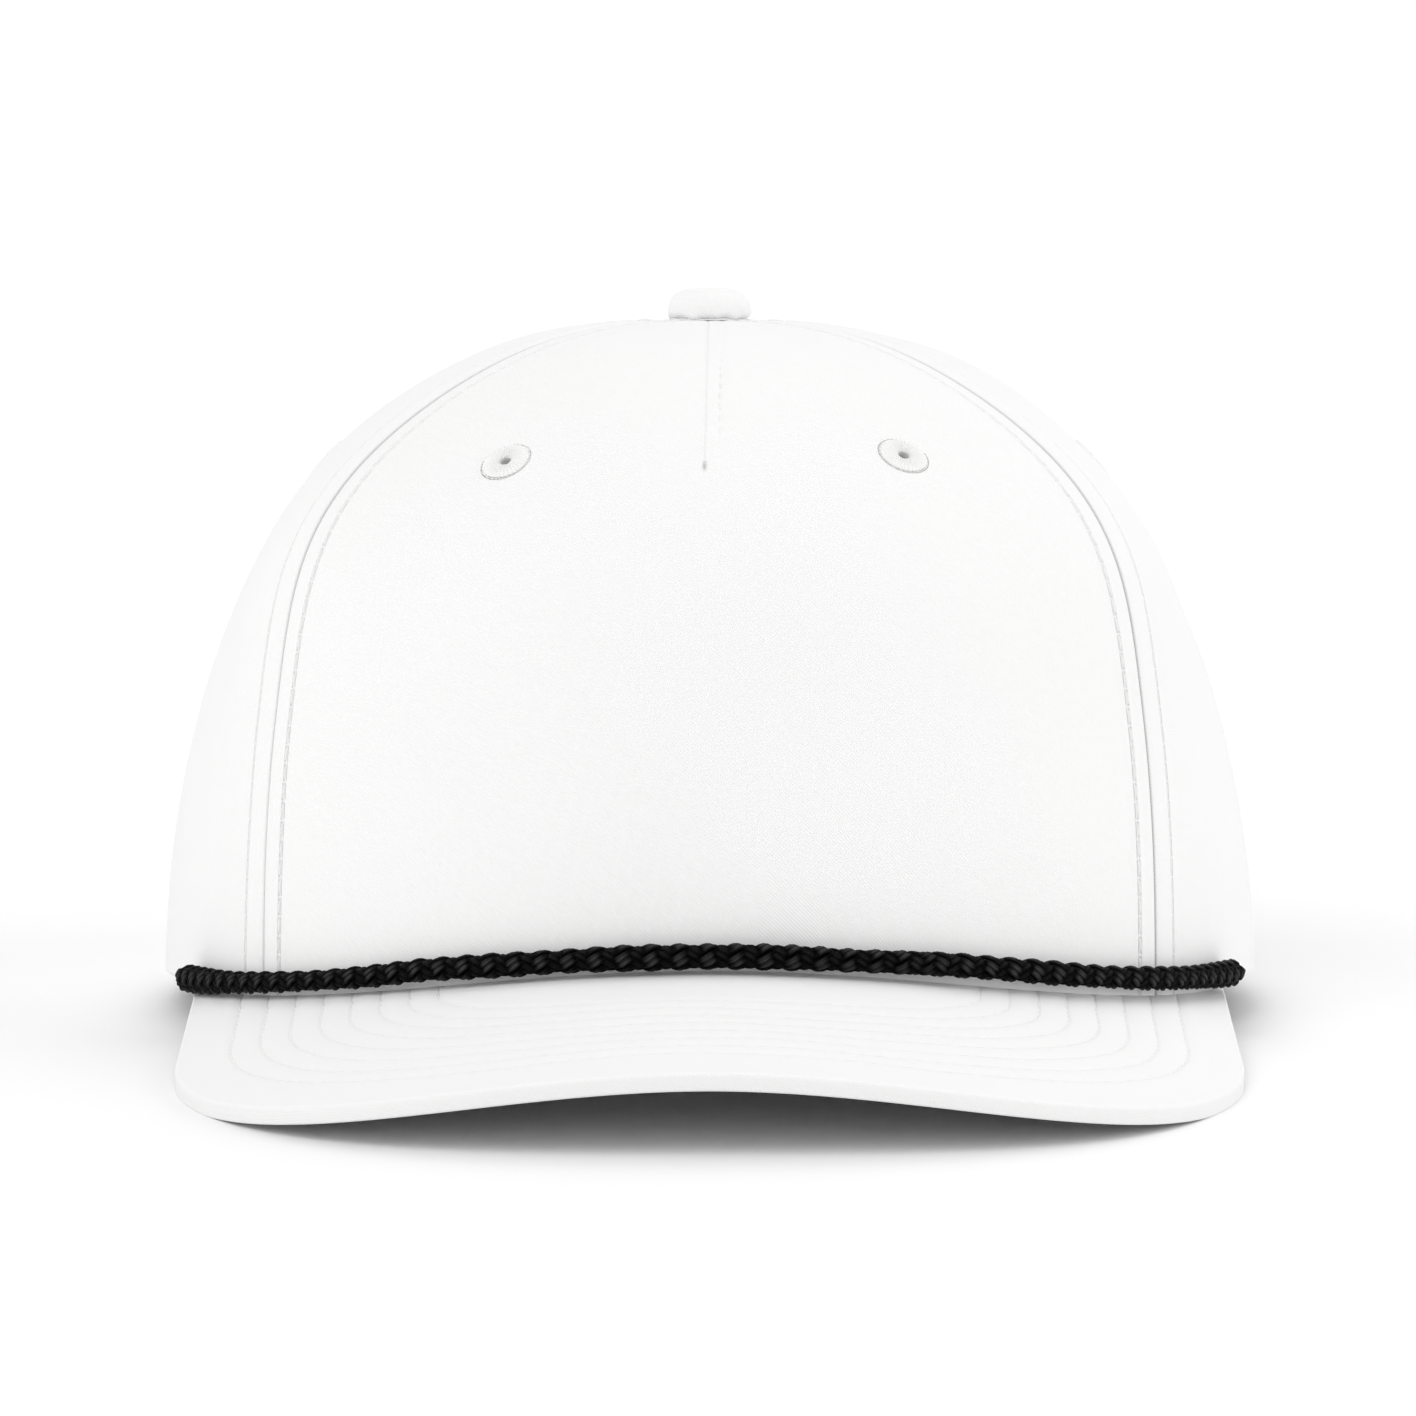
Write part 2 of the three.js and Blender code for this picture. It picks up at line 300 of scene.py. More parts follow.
def addMesh(name, points, quads, material, triangles=None, cloth=None, marks=None):
    # One mesh by foreach_set, with a cloth UV map in metres and named point values, given its body and slot.
    mesh = bpy.data.meshes.new(name)
    triangles = np.zeros((0, 3), int) if triangles is None else triangles
    corners = np.concatenate([quads.ravel(), triangles.ravel()]).astype(np.int32)
    sizes = np.concatenate([np.full(len(quads), 4), np.full(len(triangles), 3)])
    mesh.vertices.add(len(points))
    mesh.vertices.foreach_set("co", np.ascontiguousarray(points, np.float32).ravel())
    mesh.loops.add(len(corners))
    mesh.loops.foreach_set("vertex_index", corners)
    mesh.polygons.add(len(sizes))
    mesh.polygons.foreach_set("loop_start", np.concatenate([[0], np.cumsum(sizes)[:-1]]).astype(np.int32))
    mesh.update(calc_edges=True)
    mesh.polygons.foreach_set("use_smooth", np.ones(len(sizes), bool))
    if cloth is not None:
        layer = mesh.uv_layers.new(name="cloth")
        layer.uv.foreach_set("vector", np.ascontiguousarray(cloth[corners], np.float32).ravel())
    for key, values in (marks or {}).items():
        attribute = mesh.attributes.new(key, "FLOAT", "POINT")
        attribute.data.foreach_set("value", np.ascontiguousarray(values, np.float32))
    mesh.validate()
    mesh.materials.append(material)
    piece = placed(name, mesh)
    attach(piece, "root")
    return piece


def slabFaces(rows, columns):
    # Faces of a closed slab: outer grid, inner grid turned round, and the four edge strips between them.
    outer = gridQuads(rows, columns)
    inner = gridQuads(rows, columns, rows * columns)[:, ::-1]
    index = np.arange(rows * columns).reshape(rows, columns)
    ring = np.concatenate([index[0, :-1], index[:-1, -1], index[-1, :0:-1], index[:0:-1, 0]])
    after = np.roll(ring, -1)
    edge = np.stack([ring, ring + rows * columns, after + rows * columns, after], -1)
    return np.concatenate([outer, inner, edge])


def addSlab(name, outer, inner, cloth, turnIn, material, marks=None):
    # Closed slab between two grids. Marks and cloth places come from the outer grid; on the inner one the
    # cloth has run on round the edge by turnIn, in metres.
    points = np.concatenate([outer.reshape(-1, 3), inner.reshape(-1, 3)])
    flat = cloth.reshape(-1, 2) * 0.001
    doubled = {key: np.tile(values.ravel(), 2) for key, values in (marks or {}).items()}
    return addMesh(name, laidDown(points), slabFaces(*outer.shape[:2]), material,
                   cloth=np.concatenate([flat, flat + turnIn]), marks=doubled)


def roundedEdge(distance, radius):
    # How far a face is drawn in near an edge: a quarter circle of the given radius.
    inward = np.clip(1.0 - distance / radius, 0.0, 1.0)
    return radius * (1.0 - np.sqrt(1.0 - inward**2))


clothTurnIn = (0.0013, -0.0018)  # how far the weave runs on round an edge of the crown or band


def softWaves(points, strength):
    # Slow unevenness of hand-pressed cloth: a sum of crossing sine waves 25 to 70 mm long.
    total = np.zeros(points.shape[:-1])
    for k, (length, part) in enumerate(((68.0, 1.0), (47.0, 0.7), (33.0, 0.45), (26.0, 0.3))):
        along = np.array([math.cos(1.3 * k + 0.4), math.sin(2.1 * k + 0.9), math.cos(2.7 * k)])
        total += part * np.sin(points @ along * 2 * np.pi / length + 1.7 * k)
    return strength * total


# Shader writing

class Wire:
    # One output socket. Sums and products of wires and numbers add Math nodes.
    def __init__(self, shade, socket):
        self.shade = shade
        self.socket = socket

    def math(self, operation, *values):
        return self.shade.node("ShaderNodeMath", {"operation": operation}, dict(enumerate(values)))["Value"]

    def __add__(self, other):
        return self.math("ADD", self, other)

    def __radd__(self, other):
        return self.math("ADD", other, self)

    def __sub__(self, other):
        return self.math("SUBTRACT", self, other)

    def __rsub__(self, other):
        return self.math("SUBTRACT", other, self)

    def __mul__(self, other):
        return self.math("MULTIPLY", self, other)

    def __rmul__(self, other):
        return self.math("MULTIPLY", other, self)

    def __truediv__(self, other):
        return self.math("DIVIDE", self, other)

    def __rtruediv__(self, other):
        return self.math("DIVIDE", other, self)

    def sine(self):
        return self.math("SINE", self)

    def size(self):
        return self.math("ABSOLUTE", self)

    def fraction(self):
        return self.math("FRACT", self)

    def fall(self, start, end):
        # 1 up to start, 0 past end, smooth between.
        settings = {"interpolation_type": "SMOOTHSTEP", "clamp": True}
        ends = {"Value": self, "From Min": start, "From Max": end, "To Min": 1.0, "To Max": 0.0}
        return self.shade.node("ShaderNodeMapRange", settings, ends)["Result"]

    def graded(self, low, gain):
        # low where this is 0, and low + gain where it is 1.
        return self * gain + low


sheenRoughness = 0.4  # of every fibre


class Shade:
    # A material being written. node() adds any node: its type, its settings, then its socket values or wires.
    def __init__(self, name, sheen=0.0, specular=0.3):
        self.material = bpy.data.materials.new(name)
        self.material.use_nodes = True
        self.tree = self.material.node_tree
        self.surface = self.tree.nodes["Principled BSDF"]
        self.surface.inputs["Sheen Weight"].default_value = sheen
        self.surface.inputs["Sheen Roughness"].default_value = sheenRoughness
        self.surface.inputs["Specular IOR Level"].default_value = specular

    def node(self, kind, settings, sockets):
        made = self.tree.nodes.new(kind)
        for key, value in settings.items():
            setattr(made, key, value)
        for key, value in sockets.items():
            self.feed(made.inputs[key], value)
        return {output.name: Wire(self, output) for output in made.outputs}

    def feed(self, socket, value):
        if isinstance(value, Wire):
            self.tree.links.new(value.socket, socket)
        else:
            socket.default_value = value

    def set(self, key, value):
        self.feed(self.surface.inputs[key], value)

    def objectPlace(self):
        return self.node("ShaderNodeTexCoord", {}, {})["Object"]

    def clothPlace(self):
        # Cloth UV in millimetres, as two wires.
        uv = self.node("ShaderNodeUVMap", {"uv_map": "cloth"}, {})["UV"]
        parts = self.node("ShaderNodeSeparateXYZ", {}, {"Vector": uv})
        return parts["X"] * 1000.0, parts["Y"] * 1000.0

    def mark(self, name):
        settings = {"attribute_type": "GEOMETRY", "attribute_name": name}
        return self.node("ShaderNodeAttribute", settings, {})["Fac"]

    def paintedSideShade(self):
        # Painted shade on seams and rows: stronger on the wearer's left, away from the key light, weaker on
        # the right.
        sideways = self.node("ShaderNodeSeparateXYZ", {}, {"Vector": self.objectPlace()})["X"]
        return sideways.graded(*twillLook["paintedSideShade"])

    def noise(self, vector, scale, detail=3.0, roughness=0.5):
        return self.node("ShaderNodeTexNoise", {"noise_dimensions": "3D"},
                         {"Vector": vector, "Scale": scale, "Detail": detail, "Roughness": roughness})["Fac"]

    def blendColour(self, factor, first, second):
        made = self.tree.nodes.new("ShaderNodeMix")
        made.data_type = "RGBA"
        for socket, value in zip([s for s in made.inputs if s.enabled], (factor, first, second)):
            self.feed(socket, value)
        return Wire(self, [s for s in made.outputs if s.enabled][0])

    def bump(self, height, millimetres, under=None):
        sockets = {"Height": height, "Strength": 1.0, "Distance": millimetres * 0.001}
        if under is not None:
            sockets["Normal"] = under
        return self.node("ShaderNodeBump", {}, sockets)["Normal"]


# The seam colour of twillLook is painted shade, towards which seams, stitch rows, the dart, the hem, eyelet
# edges and the brim's edge band are darkened.
twillLook = {
    "colour": (0.87, 0.87, 0.868, 1.0), "shade": (0.84, 0.84, 0.838, 1.0),
    "paintedShade": (0.60, 0.60, 0.598, 1.0), "sheen": 0.1, "specular": 0.06, "roughness": (0.82, 0.12),
    "ribPitch": 0.66, "threadPitch": 0.37, "wobbleScale": 120.0, "wobble": 1.2, "weaveDepth": 0.05,
    "napScale": 900.0, "napDepth": 0.015, "cloudScale": 22.0, "dimpleDepth": 0.3,
    "stitchPitch": 3.1, "stitchRow": 4.8, "shadowBeside": 0.24, "eyeletEdge": 4.05, "brimRowStep": 4.95,
    # Painted shade from side to side: its value at the middle, and its gain across.
    "paintedSideShade": (0.58, 4.6),
}
# A pair is the start and end of a fall, or a first value and its gain.
# seamLook sets the painted shade of seams, rows, hems and eyelet edges, and the seams' dimples.
seamLook = {
    "lowDown": (35.0, 110.0), "stitchEnds": (0.5, 0.36), "lineWidth": (0.6, -0.3), "lineDark": 0.9,
    "rowWidth": (0.03, 0.24), "rowDark": (0.05, 0.58), "rowBroken": 0.85,
    "hemWidth": (0.05, 0.35), "hemDark": 0.15,
    "edgeWidth": (0.03, 0.3), "edgeDark": (-0.05, 0.5), "edgeScale": 800.0,
    "dimpleWidth": (0.1, 0.5), "dimpleDeep": (0.4, 0.6), "dimpleBroken": 0.6,
}
# Painted shadow of the brim's rows, broken into dashes by noise, and painted shade on its edge band.
brimRowLook = {
    "rowWidth": (0.05, 0.4), "middle": 3.5, "ends": (3.9, 4.1), "dashScale": 260.0, "dashSpread": (0.45, 0.6),
    "rowDark": (0.05, 0.08), "edgeWidth": (0.05, 0.3), "edgeDark": 0.12, "dimple": 0.25,
}
threadLook = {
    "pale": (0.88, 0.88, 0.875, 1.0), "dull": (0.80, 0.80, 0.795, 1.0), "roughness": (0.5, 0.2),
    "twistScale": 2600.0, "twistDepth": 0.08,
}


def weaveHeight(shade, u, v, look):
    # Twill: diagonal ribs, each cut into floats by finer threads across it, loosened by noise.
    wobble = shade.noise(shade.objectPlace(), look["wobbleScale"], 2.0) * look["wobble"]
    ribs = ((u + v) * (2 * math.pi / look["ribPitch"]) + wobble).sine()
    threads = ((u - v) * (2 * math.pi / look["threadPitch"]) + wobble).sine()
    return ribs * 0.3 + threads * 0.12 + 0.5


def seamMarks(shade, look):
    # Painted shade and dimple of the seams, the painted shadows beside the topstitch rows, the hems, the dart
    # and the eyelets' edges. From the peak down to the rim the seams grow finer and the rows stronger.
    s = seamLook
    beside = shade.mark("seamMm")
    along = shade.mark("alongMm")
    fromRow = beside - look["stitchRow"]
    betweenStitches = ((along / look["stitchPitch"]).fraction() - 0.5).size().fall(*s["stitchEnds"])
    lowDown = along.fall(*s["lowDown"])
    shadow = (fromRow - look["shadowBeside"]).size().fall(*s["rowWidth"])
    shadow = shadow * (1.0 - s["rowBroken"] * betweenStitches)
    hemLine = (shade.mark("archMm") - hem["archRow"]).size().fall(*s["hemWidth"])
    place = shade.objectPlace()
    edge = 0.0
    for degrees, height in eyelets.values():
        centre = laidDown(eyeletFrame(degrees, height)[0])
        away = shade.node("ShaderNodeVectorMath", {"operation": "DISTANCE"}, {0: place, 1: tuple(centre)})
        edge = (away["Value"] * 1000.0 - look["eyeletEdge"]).size().fall(*s["edgeWidth"]) + edge
    # The side-to-side difference of the painted shade fades out towards the peak.
    paintedSideShade = 1.0 - (1.0 - shade.paintedSideShade()) * lowDown
    # Painted shade: a dark line in each seam's gap, narrower towards the rim.
    line = (beside / lowDown.graded(*s["lineWidth"])).fall(0.0, 1.0) * paintedSideShade * s["lineDark"]
    # Painted shade in the crease round each eyelet, broken up by noise.
    edgeShade = edge * shade.noise(place, s["edgeScale"], 1.0).graded(*s["edgeDark"])
    # Painted shadow along one side of each stitch row, broken between stitches.
    rows = shadow * lowDown.graded(*s["rowDark"]) * shade.mark("rowShade") * paintedSideShade
    # Painted shade in the dart's valley and dimple, and along the hem row.
    dark = line + shade.mark("dartDepth") + hemLine * s["hemDark"] + edgeShade + rows
    dimple = fromRow.size().fall(*s["dimpleWidth"]) * (1.0 - s["dimpleBroken"] * betweenStitches)
    return dark, dimple * lowDown.graded(*s["dimpleDeep"]) + edge + hemLine


def rowMarks(shade, look):
    # Painted shadow and dimple of the brim's stitch rows, from the row number between them, and painted shade
    # on the brim's edge band.
    s = brimRowLook
    row = shade.mark("rowNumber")
    offRow = ((row + 0.5).fraction() - 0.5).size() * look["brimRowStep"]
    line = offRow.fall(*s["rowWidth"]) * (row - s["middle"]).size().fall(*s["ends"])
    # Noise breaks the painted row shadow into dashes.
    dashes = 1.0 - shade.noise(shade.objectPlace(), s["dashScale"], 2.0).fall(*s["dashSpread"])
    dark = line * dashes.graded(*s["rowDark"]) * shade.paintedSideShade()
    # Painted shade darkens the brim's edge band.
    return dark + shade.mark("edgeMm").fall(*s["edgeWidth"]) * s["edgeDark"], line * s["dimple"]


def twillMaterial(name, look, sewing=None):
    # White cotton twill: weave, nap and a slow cloudiness, with the dimples of its sewing and painted shade
    # along it where it has any.
    shade = Shade(name, look["sheen"], look["specular"])
    place = shade.objectPlace()
    weave = weaveHeight(shade, *shade.clothPlace(), look)
    nap = shade.noise(place, look["napScale"], 4.0, 0.6)
    cloud = shade.noise(place, look["cloudScale"], 3.0)
    tone = shade.blendColour(weave * 0.5 + cloud * 0.5, look["shade"], look["colour"])
    under = None
    if sewing:
        dark, dimple = sewing(shade, look)
        # Painted shade: the sewing's marks darken the cloth towards the seam colour.
        tone = shade.blendColour(dark, tone, look["paintedShade"])
        under = shade.bump(1.0 - dimple, look["dimpleDepth"])
    normal = shade.bump(weave, look["weaveDepth"], under)
    shade.set("Base Color", tone)
    shade.set("Roughness", nap.graded(*look["roughness"]))
    shade.set("Normal", shade.bump(nap, look["napDepth"], normal))
    return shade.material


def threadMaterial(look):
    # Twisted sewing thread: fine ridges and a little gloss.
    shade = Shade("threadWhite", sheen=0.2, specular=0.3)
    twist = shade.noise(shade.objectPlace(), look["twistScale"], 2.0)
    shade.set("Base Color", shade.blendColour(twist, look["dull"], look["pale"]))
    shade.set("Roughness", twist.graded(*look["roughness"]))
    shade.set("Normal", shade.bump(twist, look["twistDepth"]))
    return shade.material


twill = twillMaterial("twillSewn", twillLook, seamMarks)
brimTwill = twillMaterial("twillBrim", twillLook, rowMarks)
plainTwill = twillMaterial("twillPlain", twillLook)
thread = threadMaterial(threadLook)
print("cloth materials written")


# Crown panels

panelCloth = {
    "edgeSteps": [0.0, 0.04, 0.12, 0.25, 0.45, 0.8, 1.4, 2.2, 3.1,
                  3.8, 4.25, 4.55, 4.8, 5.05, 5.4, 5.9, 6.6, 7.5],
    "rimSteps": [0.0, 0.05, 0.15, 0.35, 0.6, 0.9, 1.5, 2.3],
    "edgeShare": 0.42, "columnWidth": 1.5, "rowHeight": 1.5, "edgeRound": 0.45, "backGap": 0.08,
    "waves": 0.16, "wavesFrom": 14.0, "sewnDown": 0.24, "sewnSpan": (60.0, 75.0),
    "allowanceRise": 0.35, "allowanceEnds": (4.0, 7.0), "allowanceStarts": 1.5,
    "peakSpan": (3.0, 16.0), "peakShare": 0.4,
    "grooveDepth": 0.13, "grooveAtPeak": 0.05, "grooveSpan": (20.0, 90.0), "grooveWidth": 0.36,
    "sideGroove": 0.6, "sideShade": 0.45,
}
dart = {
    "lowest": 85.2, "sideAtLowest": -0.8, "sideAtTop": -0.25, "fadeBelow": 0.3, "fadeAbove": 0.9,
    "depth": 0.5, "width": 0.2, "valley": 0.2, "dimpleWidth": 0.36, "dimpleHeight": 0.75,
    "rowBeside": 2.3, "rowDepth": 0.12, "rowWidth": 0.5,
    "columnSpan": 4.0, "columnStep": 0.13, "rowSpan": 3.0, "rowStep": 0.22,
}


def dartSide(height):
    # Where the dart lies to the side of the middle: it leans a little as it comes down from the button.
    share = (height - dart["lowest"]) / (capShape["height"] - dart["lowest"])
    return blend(dart["sideAtLowest"], dart["sideAtTop"], share)


def dartAbove(points):
    # 1 on the front above the dart's lower end, 0 elsewhere.
    low, high = dart["lowest"] - dart["fadeBelow"], dart["lowest"] + dart["fadeAbove"]
    return smoothstep(points[..., 2], low, high) * (points[..., 1] < 0)


def dartDepth(points):
    # 1 in the sharp valley of the short dart and in the dimple at its lower end, falling off beside them.
    d = dart
    side = points[..., 0] - dartSide(points[..., 2])
    reach = np.hypot(side / d["dimpleWidth"], (points[..., 2] - d["lowest"]) / d["dimpleHeight"])
    valley = np.exp(-np.abs(side / d["width"]) ** 1.5) * dartAbove(points)
    return np.where(points[..., 1] < 0, np.maximum(d["valley"] * valley, np.exp(-(reach**2))), 0.0)


def dartRelief(points):
    # The dart's valley and dimple, and the shallow trough of its stitches.
    d = dart
    side = points[..., 0] - dartSide(points[..., 2])
    trough = d["rowDepth"] * hump(side - d["rowBeside"], d["rowWidth"]) * dartAbove(points)
    return -(d["depth"] * dartDepth(points) + trough)


def hemRise(points):
    # Cloth doubled round the back arch: a flat rise that steps down past the stitches.
    stepped = smoothstep(beyondArch(points), hem["archRow"], hem["archRow"] + hem["foldSpan"])
    return hem["rise"] * (1.0 - stepped)


def clothWaves(points, toEdge):
    # Waves of the crown's cloth, which die out towards its seams and edges.
    return softWaves(points, panelCloth["waves"]) * smoothstep(toEdge, 0.0, panelCloth["wavesFrom"])


def allowance(beside):
    # Seam allowance folded under the cloth: a flat rise beside the seam.
    return panelCloth["allowanceRise"] * (1.0 - smoothstep(beside, *panelCloth["allowanceEnds"]))


def seamGap(seam):
    # Gap between two panels: open enough for a shadow in front, drawn tight behind the temples.
    return np.where(np.abs(seam) > np.pi / 2, panelCloth["backGap"], capShape["gap"])


def panelRows(full, withDart):
    # Distances of the grid's rows from the rim, packed at the rim and at the dart's end.
    rim = np.array(panelCloth["rimSteps"])
    lengths = np.concatenate([rim, np.linspace(rim[-1], full, int(full / panelCloth["rowHeight"]))[1:]])
    if not withDart:
        return lengths
    end = float(lengthAtShare(shareAtHeight(np.array(0.0), dart["lowest"])))
    fine = end + np.arange(-dart["rowSpan"], dart["rowSpan"], dart["rowStep"])
    return np.sort(np.concatenate([lengths[np.abs(lengths - end) > dart["rowSpan"]], fine]))


def panelColumns(widest, withDart):
    # Places of the grid's inner columns as shares of the width, packed at the dart.
    inner = np.linspace(0.0, 1.0, int(widest / panelCloth["columnWidth"]))[1:-1]
    if not withDart:
        return inner
    fine = 0.5 + np.arange(-dart["columnSpan"], dart["columnSpan"], dart["columnStep"]) / widest
    return np.sort(np.concatenate([inner[np.abs(inner - 0.5) > dart["columnSpan"] / widest], fine]))


def panelRelief(outer, beside, fromRim, full, withDart):
    # Relief of the outer face: waves, seam allowance, the groove of the stitch row, the dart and the hem.
    look = panelCloth
    fromPeak = full - fromRim
    relief = clothWaves(outer, np.minimum(beside, fromRim))
    thinned = blend(look["peakShare"], 1.0, smoothstep(fromPeak, *look["peakSpan"]))
    relief += allowance(beside) * smoothstep(beside, 0.0, look["allowanceStarts"]) * thinned
    groove = blend(look["grooveAtPeak"], look["grooveDepth"], smoothstep(fromPeak, *look["grooveSpan"]))
    groove = groove * (1.0 if withDart else look["sideGroove"])
    relief -= groove * hump(beside - twillLook["stitchRow"], look["grooveWidth"])
    return relief + (dartRelief(outer) + hemRise(outer))


def panelPiece(node, fromSeam, toSeam, widest, withDart=False):
    # Grid between two seams: columns packed by real distance near both seams and the dart, rows by
    # distance along the meridian; relief is laid on the outer face only.
    look = panelCloth
    edge = np.array(look["edgeSteps"])
    topShare = 1.0 - 0.5 * (capShape["peakHole"] / capShape["halfWidth"]) ** capShape["meridianRound"]
    full = lengthAtShare(topShare)
    rowLengths = panelRows(full, withDart)
    share = shareAtLength(rowLengths)[:, None]
    low, high = fromSeam(share), toSeam(share)
    lowRadius, highRadius = localRadius(low, share), localRadius(high, share)
    low, high = low + 0.5 * seamGap(low) / lowRadius, high - 0.5 * seamGap(high) / highRadius
    width = (high - low) * 0.5 * (lowRadius + highRadius)
    fit = np.minimum(1.0, look["edgeShare"] * width / edge[-1])
    left = low + edge * fit / lowRadius
    right = high - edge[::-1] * fit / highRadius
    inner = left[:, -1:] + (right[:, :1] - left[:, -1:]) * panelColumns(widest, withDart)
    azimuth = np.concatenate([left, inner, right], 1)
    share = np.broadcast_to(share, azimuth.shape)
    fromRim = np.broadcast_to(rowLengths[:, None], azimuth.shape)
    beside = np.minimum((azimuth - low) * lowRadius, (high - azimuth) * highRadius)
    outer, _, _, normal = crownFrame(azimuth, share)
    core = crownPoint(azimuth, share, capShape["wall"])
    relief = panelRelief(outer, beside, fromRim, full, withDart)
    onBrim = inFront(azimuth, look["sewnSpan"])
    rounding = roundedEdge(np.minimum(beside, fromRim + onBrim * look["edgeRound"]), look["edgeRound"])
    sewnDown = (look["sewnDown"] * onBrim * np.exp(-fromRim))[..., None] * (0, 0, 1)
    outer = outer + normal * (relief - rounding)[..., None] - sewnDown
    core = core + normal * rounding[..., None] - sewnDown
    cloth = np.stack([(azimuth - 0.5 * (low + high)) * localRadius(azimuth, share), fromRim], -1)
    # rowShade scales the painted shadow beside the stitch rows: full on the front panel, fainter on the
    # others; dartDepth also sets painted shade in the dart.
    marks = {"seamMm": beside, "alongMm": fromRim, "archMm": beyondArch(outer),
             "rowShade": np.full(beside.shape, 1.0 if withDart else look["sideShade"])}
    if withDart:
        marks["dartDepth"] = dartDepth(outer)
    piece = addSlab(node + "_cloth", outer, core, cloth, clothTurnIn, twill, marks)
    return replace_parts(piece, node)


def mirrored(seam):
    return lambda share: -seam(share)


panels = {
    "front_panel": panelPiece("front_panel", mirrored(frontSeam), frontSeam, 170.0, withDart=True),
    "side_panel_left": panelPiece("side_panel_left", frontSeam, backSeam, 100.0),
    "side_panel_right": panelPiece("side_panel_right", mirrored(backSeam), mirrored(frontSeam), 100.0),
    "back_panel_left": panelPiece("back_panel_left", backSeam, backCentre, 100.0),
    "back_panel_right": panelPiece("back_panel_right", mirrored(backCentre), mirrored(backSeam), 100.0),
}
print("panels made")


# Brim

brimCloth = {
    "columns": 300, "rows": 84, "edgeSteps": [0.0, 0.04, 0.13, 0.28, 0.48, 0.7, 1.0, 1.6, 2.6],
    "edgeShare": 0.3, "edgeRound": 0.5, "outlineLength": 330.0, "endRadius": 4.7,
    "rows0Side": 8.6, "rowStepSide": 4.63, "rows0Front": 13.7, "rowStepFront": 5.27, "rowCount": 8,
    "rowsBegin": (-0.6, -0.3), "rowsEnd": (7.3, 7.6), "rowSearch": (-3.0, 11.0), "halvings": 26,
    "grooveDepth": 0.12, "grooveWidth": 0.8, "puff": 0.05, "underShare": 0.7,
    "waves": 0.1, "wavesFrom": 10.0,
}


def rowCoordinate(x, y):
    # Which stitch row a place on the brim lies on, as a number, found by halving: rows are outlines drawn
    # in by even steps.
    b, c = brimShape, brimCloth
    widestY = b["widestBehindSeam"] - capShape["halfLength"]
    forward = np.maximum(widestY - y, 0.0)
    low, high = (np.full(x.shape, end) for end in c["rowSearch"])
    for _ in range(c["halvings"]):
        row = 0.5 * (low + high)
        halfWidth = b["halfWidth"] - c["rows0Side"] - c["rowStepSide"] * row
        depth = b["length"] + b["widestBehindSeam"] - c["rows0Front"] - c["rowStepFront"] * row
        outside = (np.abs(x) / halfWidth) ** b["sideExponent"] + (forward / depth) ** b["frontExponent"] > 1.0
        high = np.where(outside, row, high)
        low = np.where(outside, low, row)
    return 0.5 * (low + high)


def brimPiece():
    # Grid from the outline to the seam, packed near both and quilted by the stitch rows on both faces.
    look = brimCloth
    edgeLine = brimOutline(look["columns"])
    tip = math.asin(brimShape["halfWidth"] / capShape["halfWidth"])
    azimuth = np.linspace(-tip, tip, look["columns"])
    seamLine = np.stack(rimPlan(azimuth, capShape["wall"]), -1)
    reach = np.linalg.norm(seamLine - edgeLine, axis=1)
    steps = np.array(look["edgeSteps"])
    fit = np.minimum(1.0, look["edgeShare"] * reach / steps[-1])
    near = steps[:, None] * fit / reach
    between = np.linspace(0.0, 1.0, look["rows"])[1:-1, None]
    share = np.concatenate([near, near[-1] + (1.0 - 2 * near[-1]) * between, 1.0 - near[::-1]])
    plan = edgeLine + (seamLine - edgeLine) * share[..., None]
    x, y = plan[..., 0], plan[..., 1]
    corner = np.linspace(0.0, 1.0, look["columns"])
    toEdge = np.minimum(np.minimum(share, 1.0 - share) * reach,
                        np.minimum(corner, 1.0 - corner) * look["outlineLength"])
    row = rowCoordinate(x, y)
    sewn = smoothstep(row, *look["rowsBegin"]) * (1.0 - smoothstep(row, *look["rowsEnd"]))
    offRow = np.abs(row - np.round(row)) * 0.5 * (look["rowStepSide"] + look["rowStepFront"])
    groove = look["grooveDepth"] * hump(offRow, look["grooveWidth"])
    quilt = sewn * (look["puff"] * np.sin(np.pi * row) ** 2 - groove)
    rounding = roundedEdge(toEdge, look["edgeRound"])
    top = brimTop(x, y)
    waves = softWaves(np.stack([x, y, 0 * x], -1), look["waves"]) * smoothstep(toEdge, 0.0, look["wavesFrom"])
    upper = np.stack([x, y, top - rounding + quilt + waves], -1)
    below = top - brimShape["thickness"] + rounding - look["underShare"] * quilt + waves
    turnIn = (0.0, -0.001 * brimShape["thickness"])
    piece = addSlab("brim_cloth", upper, np.stack([x, y, below], -1), plan, turnIn, brimTwill,
                    {"rowNumber": row, "edgeMm": toEdge})
    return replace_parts(piece, "brim")


brimPiece()
print("brim made")


# Stitches: small thread loops in rows

stitchLook = {
    "pitch": twillLook["stitchPitch"], "length": 2.6, "width": 0.36, "height": 0.19, "sink": 0.03,
    "rings": 5, "sides": 6, "slant": 0.04, "clearOfPeak": 9.0, "clearOfRim": 2.0, "clearOfHem": 1.0,
}


def stitchTemplate(rings, sides):
    # A grain: circles along x, of radius 1 less the cube of the way to an end, closed by a point at each end.
    s = np.linspace(-1.0, 1.0, rings + 2)[1:-1, None]
    around = fullTurn(sides)
    radius = 1.0 - np.abs(s) ** 3
    body = [np.broadcast_to(s, (rings, sides)), radius * np.cos(around), radius * np.sin(around)]
    points = np.concatenate([np.stack(body, -1).reshape(-1, 3), [[-1, 0, 0], [1, 0, 0]]])
    tip = rings * sides
    caps = np.concatenate([fan(0, sides, tip, turned=True), fan(tip - sides, sides, tip + 1)])
    return points, gridQuads(rings, sides, wrap=True)[:, ::-1], caps[:, ::-1]


